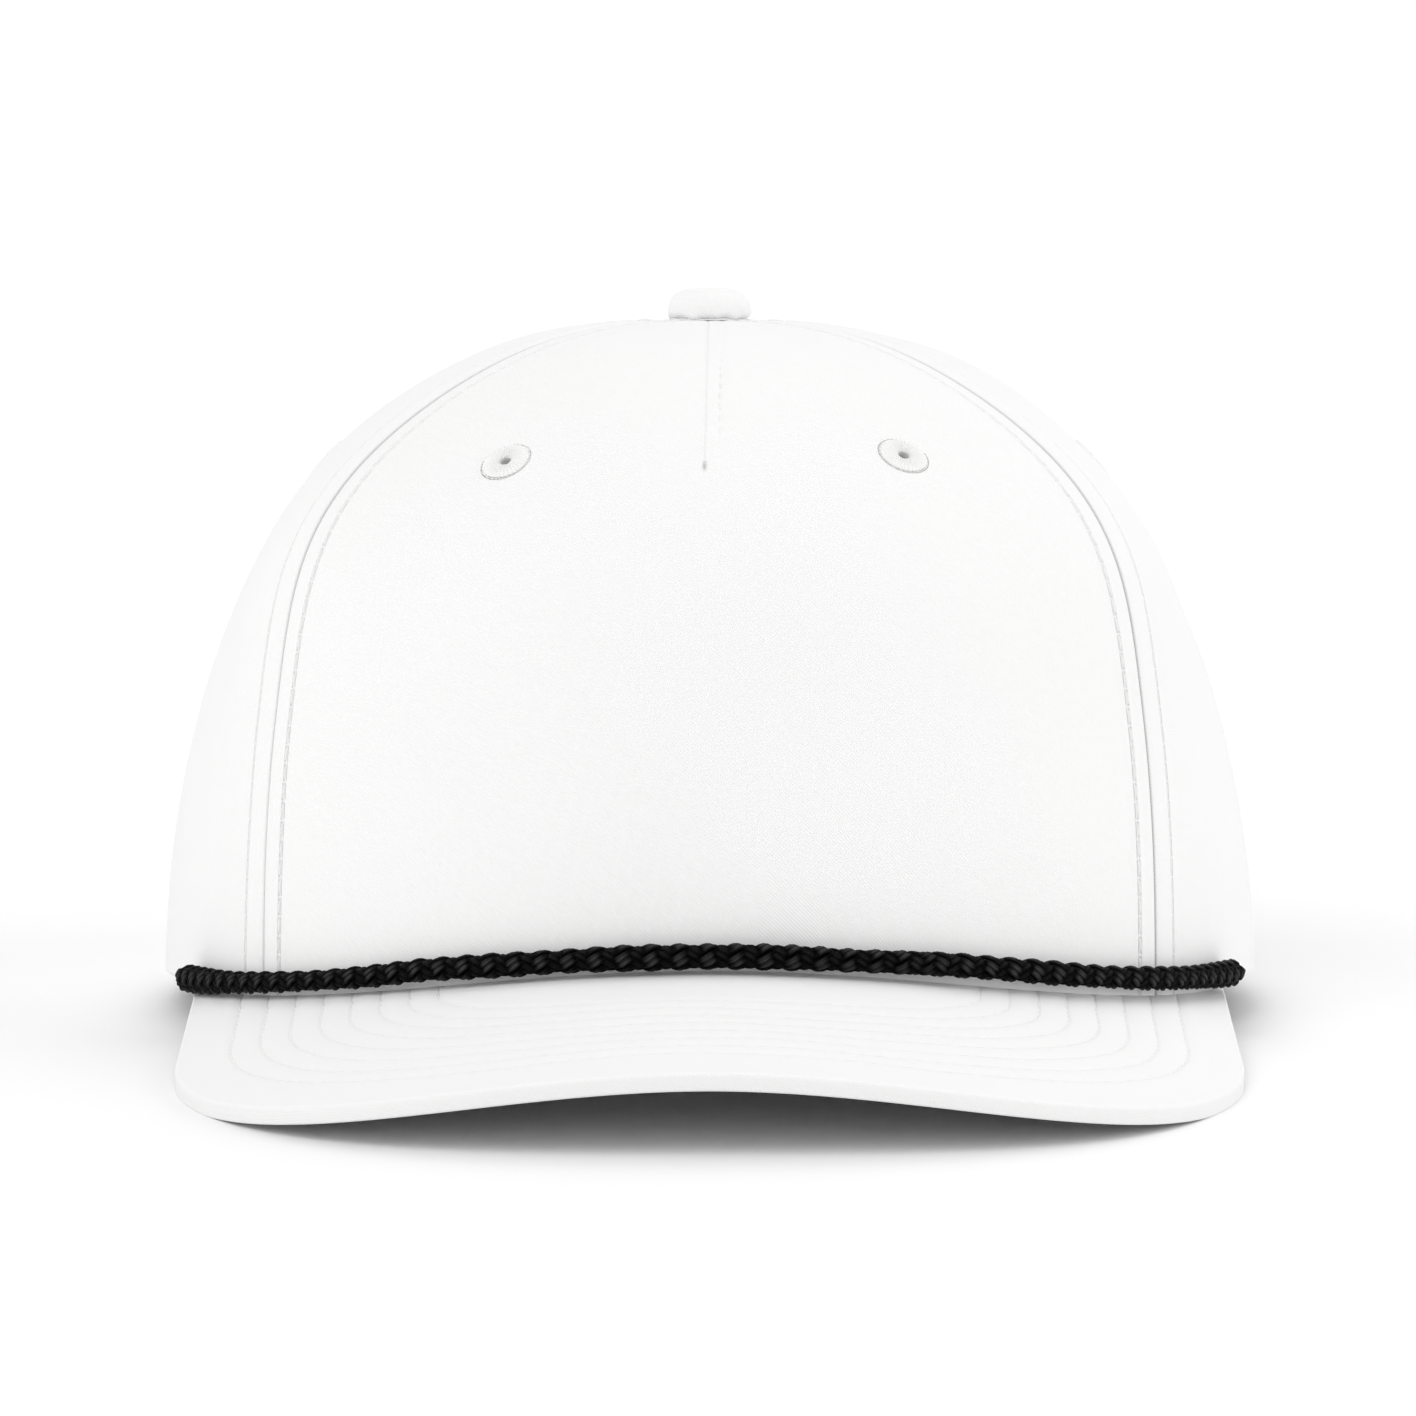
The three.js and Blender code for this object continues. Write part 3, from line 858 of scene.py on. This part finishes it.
def stitchPlaces(path, normals, along, pitch):
    # Middle, direction and normal of each stitch: one to every pitch of the distance along the row.
    at = (np.arange(math.ceil(along[0] / pitch), math.floor(along[-1] / pitch)) + 0.5) * pitch
    direction = unit(placesAt(path, along, at + 0.3) - placesAt(path, along, at - 0.3))
    return placesAt(path, along, at), direction, unit(placesAt(normals, along, at))


def stitchRows(name, rows, look):
    # One mesh of stitches: the grain is copied by broadcasting to every place in every row.
    sets = [stitchPlaces(*row, look["pitch"]) for row in rows]
    middle, direction, normal = (np.concatenate([s[k] for s in sets]) for k in range(3))
    side = unit(np.cross(normal, direction))
    normal = np.cross(direction, side)
    grain, quads, caps = stitchTemplate(look["rings"], look["sides"])
    local = grain * np.array([0.5 * look["length"], 0.5 * look["width"], look["height"]])
    slant = rng.normal(0.0, look["slant"], len(middle))[:, None]
    direction = unit(direction + side * slant)
    points = (middle[:, None] + local[:, 0, None] * direction[:, None] + local[:, 1, None] * side[:, None]
              + (local[:, 2, None] - look["sink"]) * normal[:, None])
    offsets = (np.arange(len(middle)) * len(grain))[:, None, None]
    points = laidDown(points.reshape(-1, 3))
    return addMesh(name, points, (quads + offsets).reshape(-1, 4), thread,
                   triangles=(caps + offsets).reshape(-1, 3))


def seamRow(seam, offset, fromLength, toLength):
    # A row at a set distance beside a seam, from rim to peak.
    length = np.linspace(fromLength, toLength, 240)
    share = shareAtLength(length)
    azimuth = seam(share)
    azimuth = azimuth + offset / localRadius(azimuth, share)
    point, _, _, normal = crownFrame(azimuth, share)
    lifted = panelCloth["allowanceRise"] - panelCloth["grooveDepth"]
    waves = clothWaves(point, np.minimum(abs(offset), length))
    return point + normal * (lifted + waves)[:, None], normal, length


def dartRow():
    # The dart's own row of stitches, beside it.
    share = np.linspace(float(shareAtHeight(np.array(0.0), dart["lowest"])), 0.992, 120)
    height = crownPoint(np.zeros_like(share), share, 0.0)[:, 2]
    back = -crownPoint(np.zeros_like(share), share, 0.0)[:, 1]
    azimuth = np.arctan2((dartSide(height) + dart["rowBeside"]) * capShape["halfLength"],
                         back * capShape["halfWidth"])
    point, _, _, normal = crownFrame(azimuth, share)
    return point - normal * dart["rowDepth"], normal, lengthAtShare(share)


def archRow():
    # Round the back arch at a set distance, lifted like the cloth by the hem, the centre seam and the waves.
    wide, high = archShape["halfWidth"] + hem["archRow"], archShape["height"] + hem["archRow"]
    lowest = math.asin(hem["lowest"] / high)
    turn = np.linspace(lowest, np.pi - lowest, 300)
    share = high * np.sin(turn) / capShape["height"]
    across = wide * np.cos(turn) / (capShape["halfWidth"] * meridian(share, np.pi))
    point, _, _, normal = crownFrame(np.pi - np.arcsin(across), share)
    beside = np.abs(point[:, 0])
    waves = clothWaves(point, np.minimum(beside, lengthAtShare(share)))
    lifted = hemRise(point) + allowance(beside) + waves
    return point + normal * lifted[:, None], normal, lengthsAlong(point)


def crownRows(look):
    # Rows on both sides of every seam, and the dart's. Those of the back centre begin above the arch.
    offset = twillLook["stitchRow"]
    top = tableLengths[-1] - look["clearOfPeak"]
    archTop = float(lengthAtShare(np.array(archShape["height"] / capShape["height"])))
    aboveHem = archTop + hem["archRow"] + look["clearOfHem"]
    rows = [seamRow(seam, side * offset, look["clearOfRim"], top)
            for seam in (frontSeam, mirrored(frontSeam), backSeam, mirrored(backSeam)) for side in (-1, 1)]
    rows += [seamRow(seam, side * offset, aboveHem, top)
             for seam, side in ((backCentre, -1), (mirrored(backCentre), 1))]
    return rows + [dartRow()]


stitchRows("seam_stitches", crownRows(stitchLook), stitchLook)
stitchRows("hem_stitches", [archRow()], stitchLook)


def brimRow(number, under):
    # A stitch row of the brim on its upper face, or on its underside.
    look = brimCloth
    plan = brimOutline(500, look["rows0Side"] + look["rowStepSide"] * number,
                       look["rows0Front"] + look["rowStepFront"] * number, look["endRadius"])
    x, y = plan[:, 0], plan[:, 1]
    sign = -1.0 if under else 1.0
    slopeX = -brimShape["curve"] * x / np.hypot(x, brimShape["flatHalfWidth"])
    normal = unit(np.stack([-slopeX, np.full_like(x, -brimShape["slope"]), np.ones_like(x)], -1)) * sign
    waves = softWaves(np.stack([x, y, 0 * x], -1), look["waves"])
    groove = look["grooveDepth"]
    depth = brimShape["thickness"] - look["underShare"] * groove if under else groove
    return np.stack([x, y, brimTop(x, y) + waves - depth], -1), normal, lengthsAlong(plan)


brimStitch = dict(stitchLook, pitch=3.0, length=2.3, width=0.34, height=0.17)
brimRows = [brimRow(number, under) for number in range(brimCloth["rowCount"]) for under in (False, True)]
stitchRows("brim_stitches", brimRows, brimStitch)
print("stitches sewn")


# Rope: four strands each way, each of two yarns, braided round one path

ropeLook = {
    "radius": 2.2, "endAzimuth": 66.3, "strandsEachWay": 4, "lobePitch": 4.35, "core": 1.16, "wave": 0.31,
    "yarnApart": 0.46, "yarnWidth": 0.56, "yarnDepth": 0.6, "yarnDrop": 0.05, "sides": 10, "step": 0.46,
    "lean": 0.14, "leanTurns": (0.62, 0.7), "turned": -0.35, "rolled": 1.2, "rolledOver": (0.2, 0.8),
    "endRound": 1.6, "endDrop": 0.75, "bunchedOver": 36.0, "bunching": 0.6,
    # The pale rope colour marks wear and painted highlights on the outer yarns.
    "black": (0.0008, 0.0008, 0.0009, 1.0), "wornAndHighlit": (0.06, 0.06, 0.06, 1.0), "roughness": (0.36, 0.12),
    # Slow changes of thickness: share, length in millimetres and start.
    "uneven": ((0.03, 3.7, 0.0), (0.025, 8.3, 1.0)),
    # Place from side to side, how far it lies above the corner, and its share of full thickness.
    "lay": ((-83, 0.0, 1.03), (-76, 0.25, 0.9), (-70, 0.42, 0.83), (-54, 0.55, 0.82), (-45, 0.9, 0.9),
            (-30, 0.5, 0.95), (-8, 0.3, 0.97), (22, 0.5, 0.97), (38, 1.1, 0.94), (50, 1.2, 0.9),
            (72, 1.05, 0.92), (80, 1.0, 0.94), (84, 0.85, 1.02)),
}


def ropePath(count):
    # Centre line in the corner between the crown and the brim, with its tangent and the outward direction.
    look = ropeLook
    end = math.radians(look["endAzimuth"])
    azimuth = np.linspace(-end, end, 3000)
    clear = look["radius"] + capShape["gap"]
    x, y = rimPlan(azimuth, -clear)
    slope = brimShape["curve"] * x / np.hypot(x, brimShape["flatHalfWidth"])
    z = brimTop(x, y) + clear * np.sqrt(1.0 + slope**2 + brimShape["slope"] ** 2)
    path = np.stack([x, y, z], -1)
    length = lengthsAlong(path)
    at = np.linspace(0.0, length[-1], count)
    centre = placesAt(path, length, at)
    tangent = unit(placesAt(path, length, at + 0.5) - placesAt(path, length, at - 0.5))
    outward = unit(centre * (1, 1, 0))
    outward = unit(outward - tangent * np.sum(outward * tangent, -1, keepdims=True))
    station, height, thickness = np.array(look["lay"]).T
    thick = np.interp(centre[:, 0], station, thickness)
    inward = look["radius"] * (1.0 - thick)
    raised = np.interp(centre[:, 0], station, height)
    centre = centre - outward * inward[:, None] + raised[:, None] * (0, 0, 1)
    return centre, tangent, outward, at, thick


def ropeMaterial(look):
    # Black filaments, paler where a yarn rides over the others, from wear and from painted highlights; fine
    # ridges run along each yarn.
    shade = Shade("ropeBlack", specular=0.035)
    u, v = shade.clothPlace()
    wobble = shade.noise(shade.objectPlace(), 700.0, 2.0)
    ridges = ((v + u * 0.2) * 16.0 + wobble * 4.0).sine() * 0.5 + 0.5
    # Painted highlight and wear: yarns riding over the others, facing out, are paler.
    rubbedAndHighlit = shade.mark("raised") * (0.5 + ridges * 0.35 + wobble * 0.3)
    shade.set("Base Color", shade.blendColour(rubbedAndHighlit, look["black"], look["wornAndHighlit"]))
    shade.set("Roughness", ridges.graded(*look["roughness"]))
    shade.set("Normal", shade.bump(ridges, 0.05))
    return shade.material


def ropePiece():
    # Round braid: strands circle the path both ways, and each swings out over every second crossing.
    # The strands of one way lean further out than the others, and change over part of the way along.
    look = ropeLook
    ways, sides = look["strandsEachWay"], look["sides"]
    count = int(ropePath(3)[3][-1] / look["step"])
    path, tangent, outward, at, thick = ropePath(count)
    upward = np.cross(tangent, outward)
    nearEnd = np.minimum(at, at[-1] - at)
    taper = np.sqrt(1.0 - look["endDrop"] * (1.0 - nearEnd / look["endRound"]).clip(0.0, 1.0) ** 2)
    uneven = sum(part * np.sin(at / length + start) for part, length, start in look["uneven"])
    size = thick * taper * (1.0 + uneven)
    bunched = 1.0 + look["bunching"] * (1.0 - smoothstep(nearEnd, 0.0, look["bunchedOver"]))
    turns = 2 * np.pi / (look["lobePitch"] * ways) * np.cumsum(bunched) * at[1]
    share = at / at[-1]
    rolled = look["turned"] + look["rolled"] * smoothstep(share, *look["rolledOver"])
    leaning = look["lean"] * (1.0 - 2.0 * smoothstep(share, *look["leanTurns"]))
    around = fullTurn(sides)
    crest = smoothstep(np.cos(around), 0.55, 1.0)
    points, quads, caps, cloth, raised = [], [], [], [], []
    for yarn in range(4 * ways):
        way = 1.0 if yarn < 2 * ways else -1.0
        angle = (yarn // 2) * 2 * np.pi / ways - way * turns
        over = way * np.cos(ways * angle)
        lead = way * leaning
        radius = (look["core"] + look["wave"] * over + lead) * size
        angle = angle + rolled
        radial = outward * np.cos(angle)[:, None] + upward * np.sin(angle)[:, None]
        centre = path + radial * radius[:, None]
        forward = unit(np.gradient(centre, axis=0))
        outer = unit(radial - forward * np.sum(radial * forward, -1, keepdims=True))
        beside = np.cross(forward, outer)
        side = look["yarnApart"] * (1 if yarn % 2 else -1)
        centre = centre + (beside * side - outer * look["yarnDrop"]) * size[:, None]
        ring = (outer[:, None] * (look["yarnDepth"] * np.cos(around))[:, None]
                + beside[:, None] * (look["yarnWidth"] * np.sin(around))[:, None])
        body = centre[:, None] + ring * size[:, None, None]
        base = yarn * (count * sides + 2)
        tail = base + count * sides
        points += [body.reshape(-1, 3), centre[[0, -1]]]
        quads.append(gridQuads(count, sides, base, wrap=True)[:, ::-1])
        caps += [fan(base, sides, tail), fan(tail - sides, sides, tail + 1, turned=True)]
        uv = np.stack([np.broadcast_to(at[:, None], (count, sides)),
                       np.broadcast_to(around * look["yarnWidth"], (count, sides))], -1)
        cloth.append(np.concatenate([uv.reshape(-1, 2), [[0.0, 0.0], [at[-1], 0.0]]]) * 0.001)
        # Painted highlight, partly wear: the crest of an over-riding yarn is marked paler, more on the
        # strands that lean out.
        shown = smoothstep(over, 0.35, 1.0) * (0.6 + 0.4 * lead / look["lean"])
        raised += [(shown[:, None] * crest).ravel(), [0.0, 0.0]]
    piece = addMesh("rope_braid", laidDown(np.concatenate(points)), np.concatenate(quads), ropeMaterial(look),
                    triangles=np.concatenate(caps), cloth=np.concatenate(cloth),
                    marks={"raised": np.concatenate(raised)})
    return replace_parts(piece, "rope")


ropePiece()
print("rope braided")


# Eyelets and button

eyeletLook = {
    "ring": 2.5, "threadHalfWidth": 1.5, "threadHeight": 0.46, "seat": 0.1, "stitches": 34, "ridge": 0.27,
    "slant": 0.8, "uneven": 0.04, "widthRipple": 0.1, "tubeSides": 16, "stepsEachStitch": 8,
    "hole": 0.9, "holeSides": 20, "holeDepths": (-5.0, 3.0),
}


def eyeletPiece(node, degrees, height):
    # A flattened ring whose height and width ripple once for each buttonhole stitch.
    look = eyeletLook
    place, around, up, normal = eyeletFrame(degrees, height)
    steps, sides = look["stitches"] * look["stepsEachStitch"], look["tubeSides"]
    turn = fullTurn(steps)[:, None]
    tube = fullTurn(sides)[None]
    ripple = 1.0 + look["ridge"] * np.cos(turn * look["stitches"] + look["slant"] * np.cos(tube))
    ripple = ripple + look["uneven"] * np.sin(3 * turn)
    width = 1.0 - look["widthRipple"] + look["widthRipple"] * ripple
    radial = look["ring"] + look["threadHalfWidth"] * np.cos(tube) * width
    rise = look["threadHeight"] * np.sin(tube) * ripple + look["seat"]
    local = (around * (radial * np.cos(turn))[..., None] + up * (radial * np.sin(turn))[..., None]
             + normal * rise[..., None])
    quads = gridQuads(steps, sides, wrap=True, closed=True)[:, [0, 3, 2, 1]]
    piece = addMesh(node + "_sewn", laidDown(place + local).reshape(-1, 3), quads, thread)
    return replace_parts(piece, node)


for node, (azimuth, height) in eyelets.items():
    eyeletPiece(node, azimuth, height)

buttonLook = {
    "radius": 6.9, "height": 5.4, "base": 0.36, "corner": 0.9, "sideExponent": 4.0, "topExponent": 2.1,
    "seatRadius": 6.4, "seatHeight": 0.1, "shankRadius": 3.4, "shankDepth": 3.2, "sides": 96,
    "gatheredAt": 0.76, "edgeWave": 0.2, "waveSpan": 0.7, "gather": 0.07, "gatherSpan": 1.2,
}


def buttonPiece():
    # Superelliptic dome turned about the crown's axis over a short shank, with faint gathers at its base.
    look = buttonLook
    foot = look["base"] + look["corner"]
    turn = np.linspace(0.0, np.pi / 2, 28)[:-1]
    dome = np.stack([look["radius"] * np.cos(turn) ** (2 / look["sideExponent"]),
                     foot + (look["height"] - foot) * np.sin(turn) ** (2 / look["topExponent"])], -1)
    turn = np.linspace(0.0, np.pi / 2, 6)[:-1]
    corner = np.stack([look["radius"] - look["corner"] * (1.0 - np.sin(turn)),
                       foot - look["corner"] * np.cos(turn)], -1)
    shank = [[look["shankRadius"], -look["shankDepth"]], [look["shankRadius"], look["seatHeight"]],
             [look["seatRadius"], look["seatHeight"]], [look["seatRadius"], look["base"]]]
    profile = np.concatenate([shank, corner, dome])
    rows, sides = len(profile), look["sides"]
    around = fullTurn(sides)
    height = np.broadcast_to(profile[:, 1:], (rows, sides))
    overSeat = (np.arange(rows) >= len(shank))[:, None] * hump(height - look["gatheredAt"], look["waveSpan"])
    height = height + look["edgeWave"] * (np.cos(5 * around + 0.4) + 0.7 * np.cos(11 * around)) * overSeat
    nearBase = hump(height - look["gatheredAt"], look["gatherSpan"])
    radius = profile[:, :1] + look["gather"] * np.cos(13 * around)[None] * nearBase
    ring = np.stack([radius * np.cos(around), radius * np.sin(around), height], -1)
    steps = np.diff(profile[::-1], axis=0, prepend=[[0.0, look["height"]]])
    fromPeak = np.cumsum(np.hypot(*steps.T))[::-1, None]
    cloth = np.stack([fromPeak * np.cos(around), fromPeak * np.sin(around)], -1).reshape(-1, 2)
    cloth = np.concatenate([cloth, [[0.0, 0.0], [fromPeak[0, 0], 0.0]]]) * 0.001
    ends = [[0, 0, look["height"]], [0, 0, -look["shankDepth"]]]
    points = np.concatenate([ring.reshape(-1, 3), ends]) + (0, 0, capShape["height"])
    tip = rows * sides
    caps = np.concatenate([fan(tip - sides, sides, tip), fan(0, sides, tip + 1, turned=True)])
    piece = addMesh("button_cloth", laidDown(points), gridQuads(rows, sides, wrap=True), plainTwill,
                    triangles=caps, cloth=cloth)
    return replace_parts(piece, "button")


buttonPiece()
print("eyelets and button made")


# Sweatband and strap

bandLook = {"endAzimuth": 149.5, "top": 31.0, "thickness": 1.2, "padding": 0.5, "padSpan": 5.0, "row": 27.5,
            "columns": 420, "rows": 30, "slot": "white_sweatband"}
strapLook = {"endAzimuth": 150.5, "top": 18.0, "thickness": 1.6, "padding": 0.0, "padSpan": 5.0,
             "columns": 120, "rows": 24, "slot": "white_plastic",
             "pale": (0.79, 0.79, 0.785, 1.0), "dull": (0.74, 0.74, 0.735, 1.0)}
bandScale = {"degree": 1.6, "radian": 94.0}  # millimetres along a band


def bandPiece(name, node, fromDegrees, toDegrees, material, look):
    # Upright band inside the crown wall: a slab between two insets, rounded at its edges and padded inside.
    columns, rows, top = look["columns"], look["rows"], look["top"]
    azimuth = np.radians(np.linspace(fromDegrees, toDegrees, columns))[None]
    rowShare = (1.0 - np.cos(np.linspace(0.0, np.pi, rows)))[:, None] * 0.5
    share = shareAtHeight(azimuth, top) * rowShare
    azimuth = np.broadcast_to(azimuth, share.shape)
    height = np.broadcast_to(rowShare * top, share.shape)
    step = (toDegrees - fromDegrees) / columns * bandScale["degree"]
    ends = np.minimum(np.arange(columns), np.arange(columns)[::-1]) * step
    toEdge = np.minimum(np.minimum(height, top - height), ends[None])
    rounding = roundedEdge(toEdge, 0.5 * look["thickness"])
    normal = crownFrame(azimuth, share)[3]
    inset = capShape["wall"] + capShape["gap"]
    outer = crownPoint(azimuth, share, inset) - normal * rounding[..., None]
    puffed = look["padding"] * smoothstep(toEdge, 0.0, look["padSpan"])
    inner = crownPoint(azimuth, share, inset + look["thickness"]) + normal * (rounding - puffed)[..., None]
    cloth = np.stack([azimuth * bandScale["radian"], height], -1)
    piece = addSlab(name, outer, inner, cloth, clothTurnIn, material)
    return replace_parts(piece, node)


def strapMaterial():
    # Moulded plastic: faint mottling and a satin face.
    shade = Shade("strapPlastic", specular=0.5)
    grain = shade.noise(shade.objectPlace(), 1400.0, 3.0)
    shade.set("Base Color", shade.blendColour(grain, strapLook["dull"], strapLook["pale"]))
    shade.set("Roughness", grain * 0.12 + 0.36)
    shade.set("Normal", shade.bump(grain, 0.03))
    return shade.material


bandEnd = bandLook["endAzimuth"]
bandPiece("sweatband_cloth", "sweatband", -bandEnd, bandEnd, plainTwill, bandLook)


def bandRow(height):
    # A stitch row on the band's inner face.
    azimuth = np.radians(np.linspace(-bandEnd, bandEnd, 700))
    share = shareAtHeight(azimuth, height)
    inset = capShape["wall"] + capShape["gap"] + bandLook["thickness"]
    normal = crownFrame(azimuth, share)[3]
    padding = bandLook["padding"] * smoothstep(height, 0.0, bandLook["padSpan"])
    point = crownPoint(azimuth, share, inset) - normal * padding
    return point, -normal, lengthsAlong(point)


stitchRows("band_stitches", [bandRow(bandLook["row"])], stitchLook)
strapEnd = strapLook["endAzimuth"]
bandPiece("strap_moulded", "closure_strap", strapEnd, 360.0 - strapEnd, strapMaterial(), strapLook)
print("band and strap made")


# Holes and the back arch are cut through the finished panels

def eyeletCutter(degrees, height):
    # Short prism along the crown's normal.
    place, around, up, normal = eyeletFrame(degrees, height)
    turn = fullTurn(eyeletLook["holeSides"])[:, None]
    ring = place + (around * np.cos(turn) + up * np.sin(turn)) * eyeletLook["hole"]
    return np.concatenate([ring + normal * depth for depth in eyeletLook["holeDepths"]]), len(turn)


def archCutterPoints():
    # Half ellipse under the arch and down past the rim, drawn out along y through the back wall.
    across, high = archShape["halfWidth"], archShape["height"]
    below, ends = -8.0, (115.0, 60.0)
    turn = np.linspace(0.0, np.pi, 72)
    x = np.concatenate([across * np.cos(turn), [-across, across]])
    z = np.concatenate([high * np.sin(turn), [below, below]])
    return np.concatenate([np.stack([x, np.full_like(x, y), z], -1) for y in ends]), len(x)


def prism(name, points, count):
    # Closed prism between two equal outlines, its end faces as single polygons.
    mesh = bpy.data.meshes.new(name)
    near = np.arange(count)
    beyond = (near + 1) % count
    sides = np.stack([near, beyond, beyond + count, near + count], -1)
    faces = sides.tolist() + [list(range(count))[::-1], list(range(count, 2 * count))]
    mesh.from_pydata(laidDown(points, flatten=False).tolist(), [], faces)
    mesh.update()
    return placed(name, mesh)


def cutPanel(node, prisms):
    # Boolean differences, applied to the mesh one after the other.
    piece = panels[node]
    for tool in prisms:
        change = piece.modifiers.new("cut", "BOOLEAN")
        change.operation = "DIFFERENCE"
        change.solver = "EXACT"
        change.object = tool
    depsgraph = bpy.context.evaluated_depsgraph_get()
    made = bpy.data.meshes.new_from_object(piece.evaluated_get(depsgraph), preserve_all_data_layers=True,
                                           depsgraph=depsgraph)
    piece.modifiers.clear()
    piece.data = made
    for tool in prisms:
        bpy.data.objects.remove(tool)


for node in panels:
    spots = [name for name in eyelets if name.startswith("eyelet_" + node.replace("_panel", ""))]
    tools = [prism("hole", *eyeletCutter(*eyelets[spot])) for spot in spots]
    if node.startswith("back"):
        tools.append(prism("arch", *archCutterPoints()))
    cutPanel(node, tools)
print("holes and arch cut")


# Stage and light

stageLook = {"size": 60.0, "floor": (0.93, 0.93, 0.93, 1.0), "world": 0.56}
softLights = {
    "key": {"from": (-0.5, -0.9, 1.2), "spread": 40.0, "power": 0.84},
    "front": {"from": (0.1, -1.0, 0.25), "spread": 60.0, "power": 0.08},
    "left": {"from": (-1.2, -0.25, 0.35), "spread": 60.0, "power": 0.88},
    "right": {"from": (1.2, -0.25, 0.35), "spread": 60.0, "power": 1.27},
    "rim": {"from": (0.3, 1.0, 0.9), "spread": 60.0, "power": 0.7},
}


def addStage():
    shade = Shade("floorPale", specular=0.1)
    grain = shade.noise(shade.objectPlace(), 40.0, 2.0)
    pale = stageLook["floor"]
    shade.set("Base Color", shade.blendColour(grain, pale, tuple(0.99 * c for c in pale[:3]) + (1.0,)))
    shade.set("Roughness", grain * 0.05 + 0.9)
    half = 0.5 * stageLook["size"]
    mesh = bpy.data.meshes.new("floor")
    corners = [(-half, -half, 0), (half, -half, 0), (half, half, 0), (-half, half, 0)]
    mesh.from_pydata(corners, [], [(0, 1, 2, 3)])
    mesh.materials.append(shade.material)
    floor = placed("floor", mesh)


def addLight():
    world = bpy.data.worlds.new("studio")
    bpy.context.scene.world = world
    world.use_nodes = True
    background = world.node_tree.nodes["Background"]
    background.inputs["Color"].default_value = (1.0, 1.0, 1.0, 1.0)
    background.inputs["Strength"].default_value = stageLook["world"]
    for name, light in softLights.items():
        data = bpy.data.lights.new(name, "SUN")
        data.angle = math.radians(light["spread"])
        data.energy = light["power"]
        x, y, z = light["from"]
        placed(name, data).rotation_euler = (math.atan2(math.hypot(x, y), z), 0.0, math.atan2(x, -y))
    bpy.context.scene.view_settings.view_transform = "Standard"


addStage()
addLight()
print("stage lit")
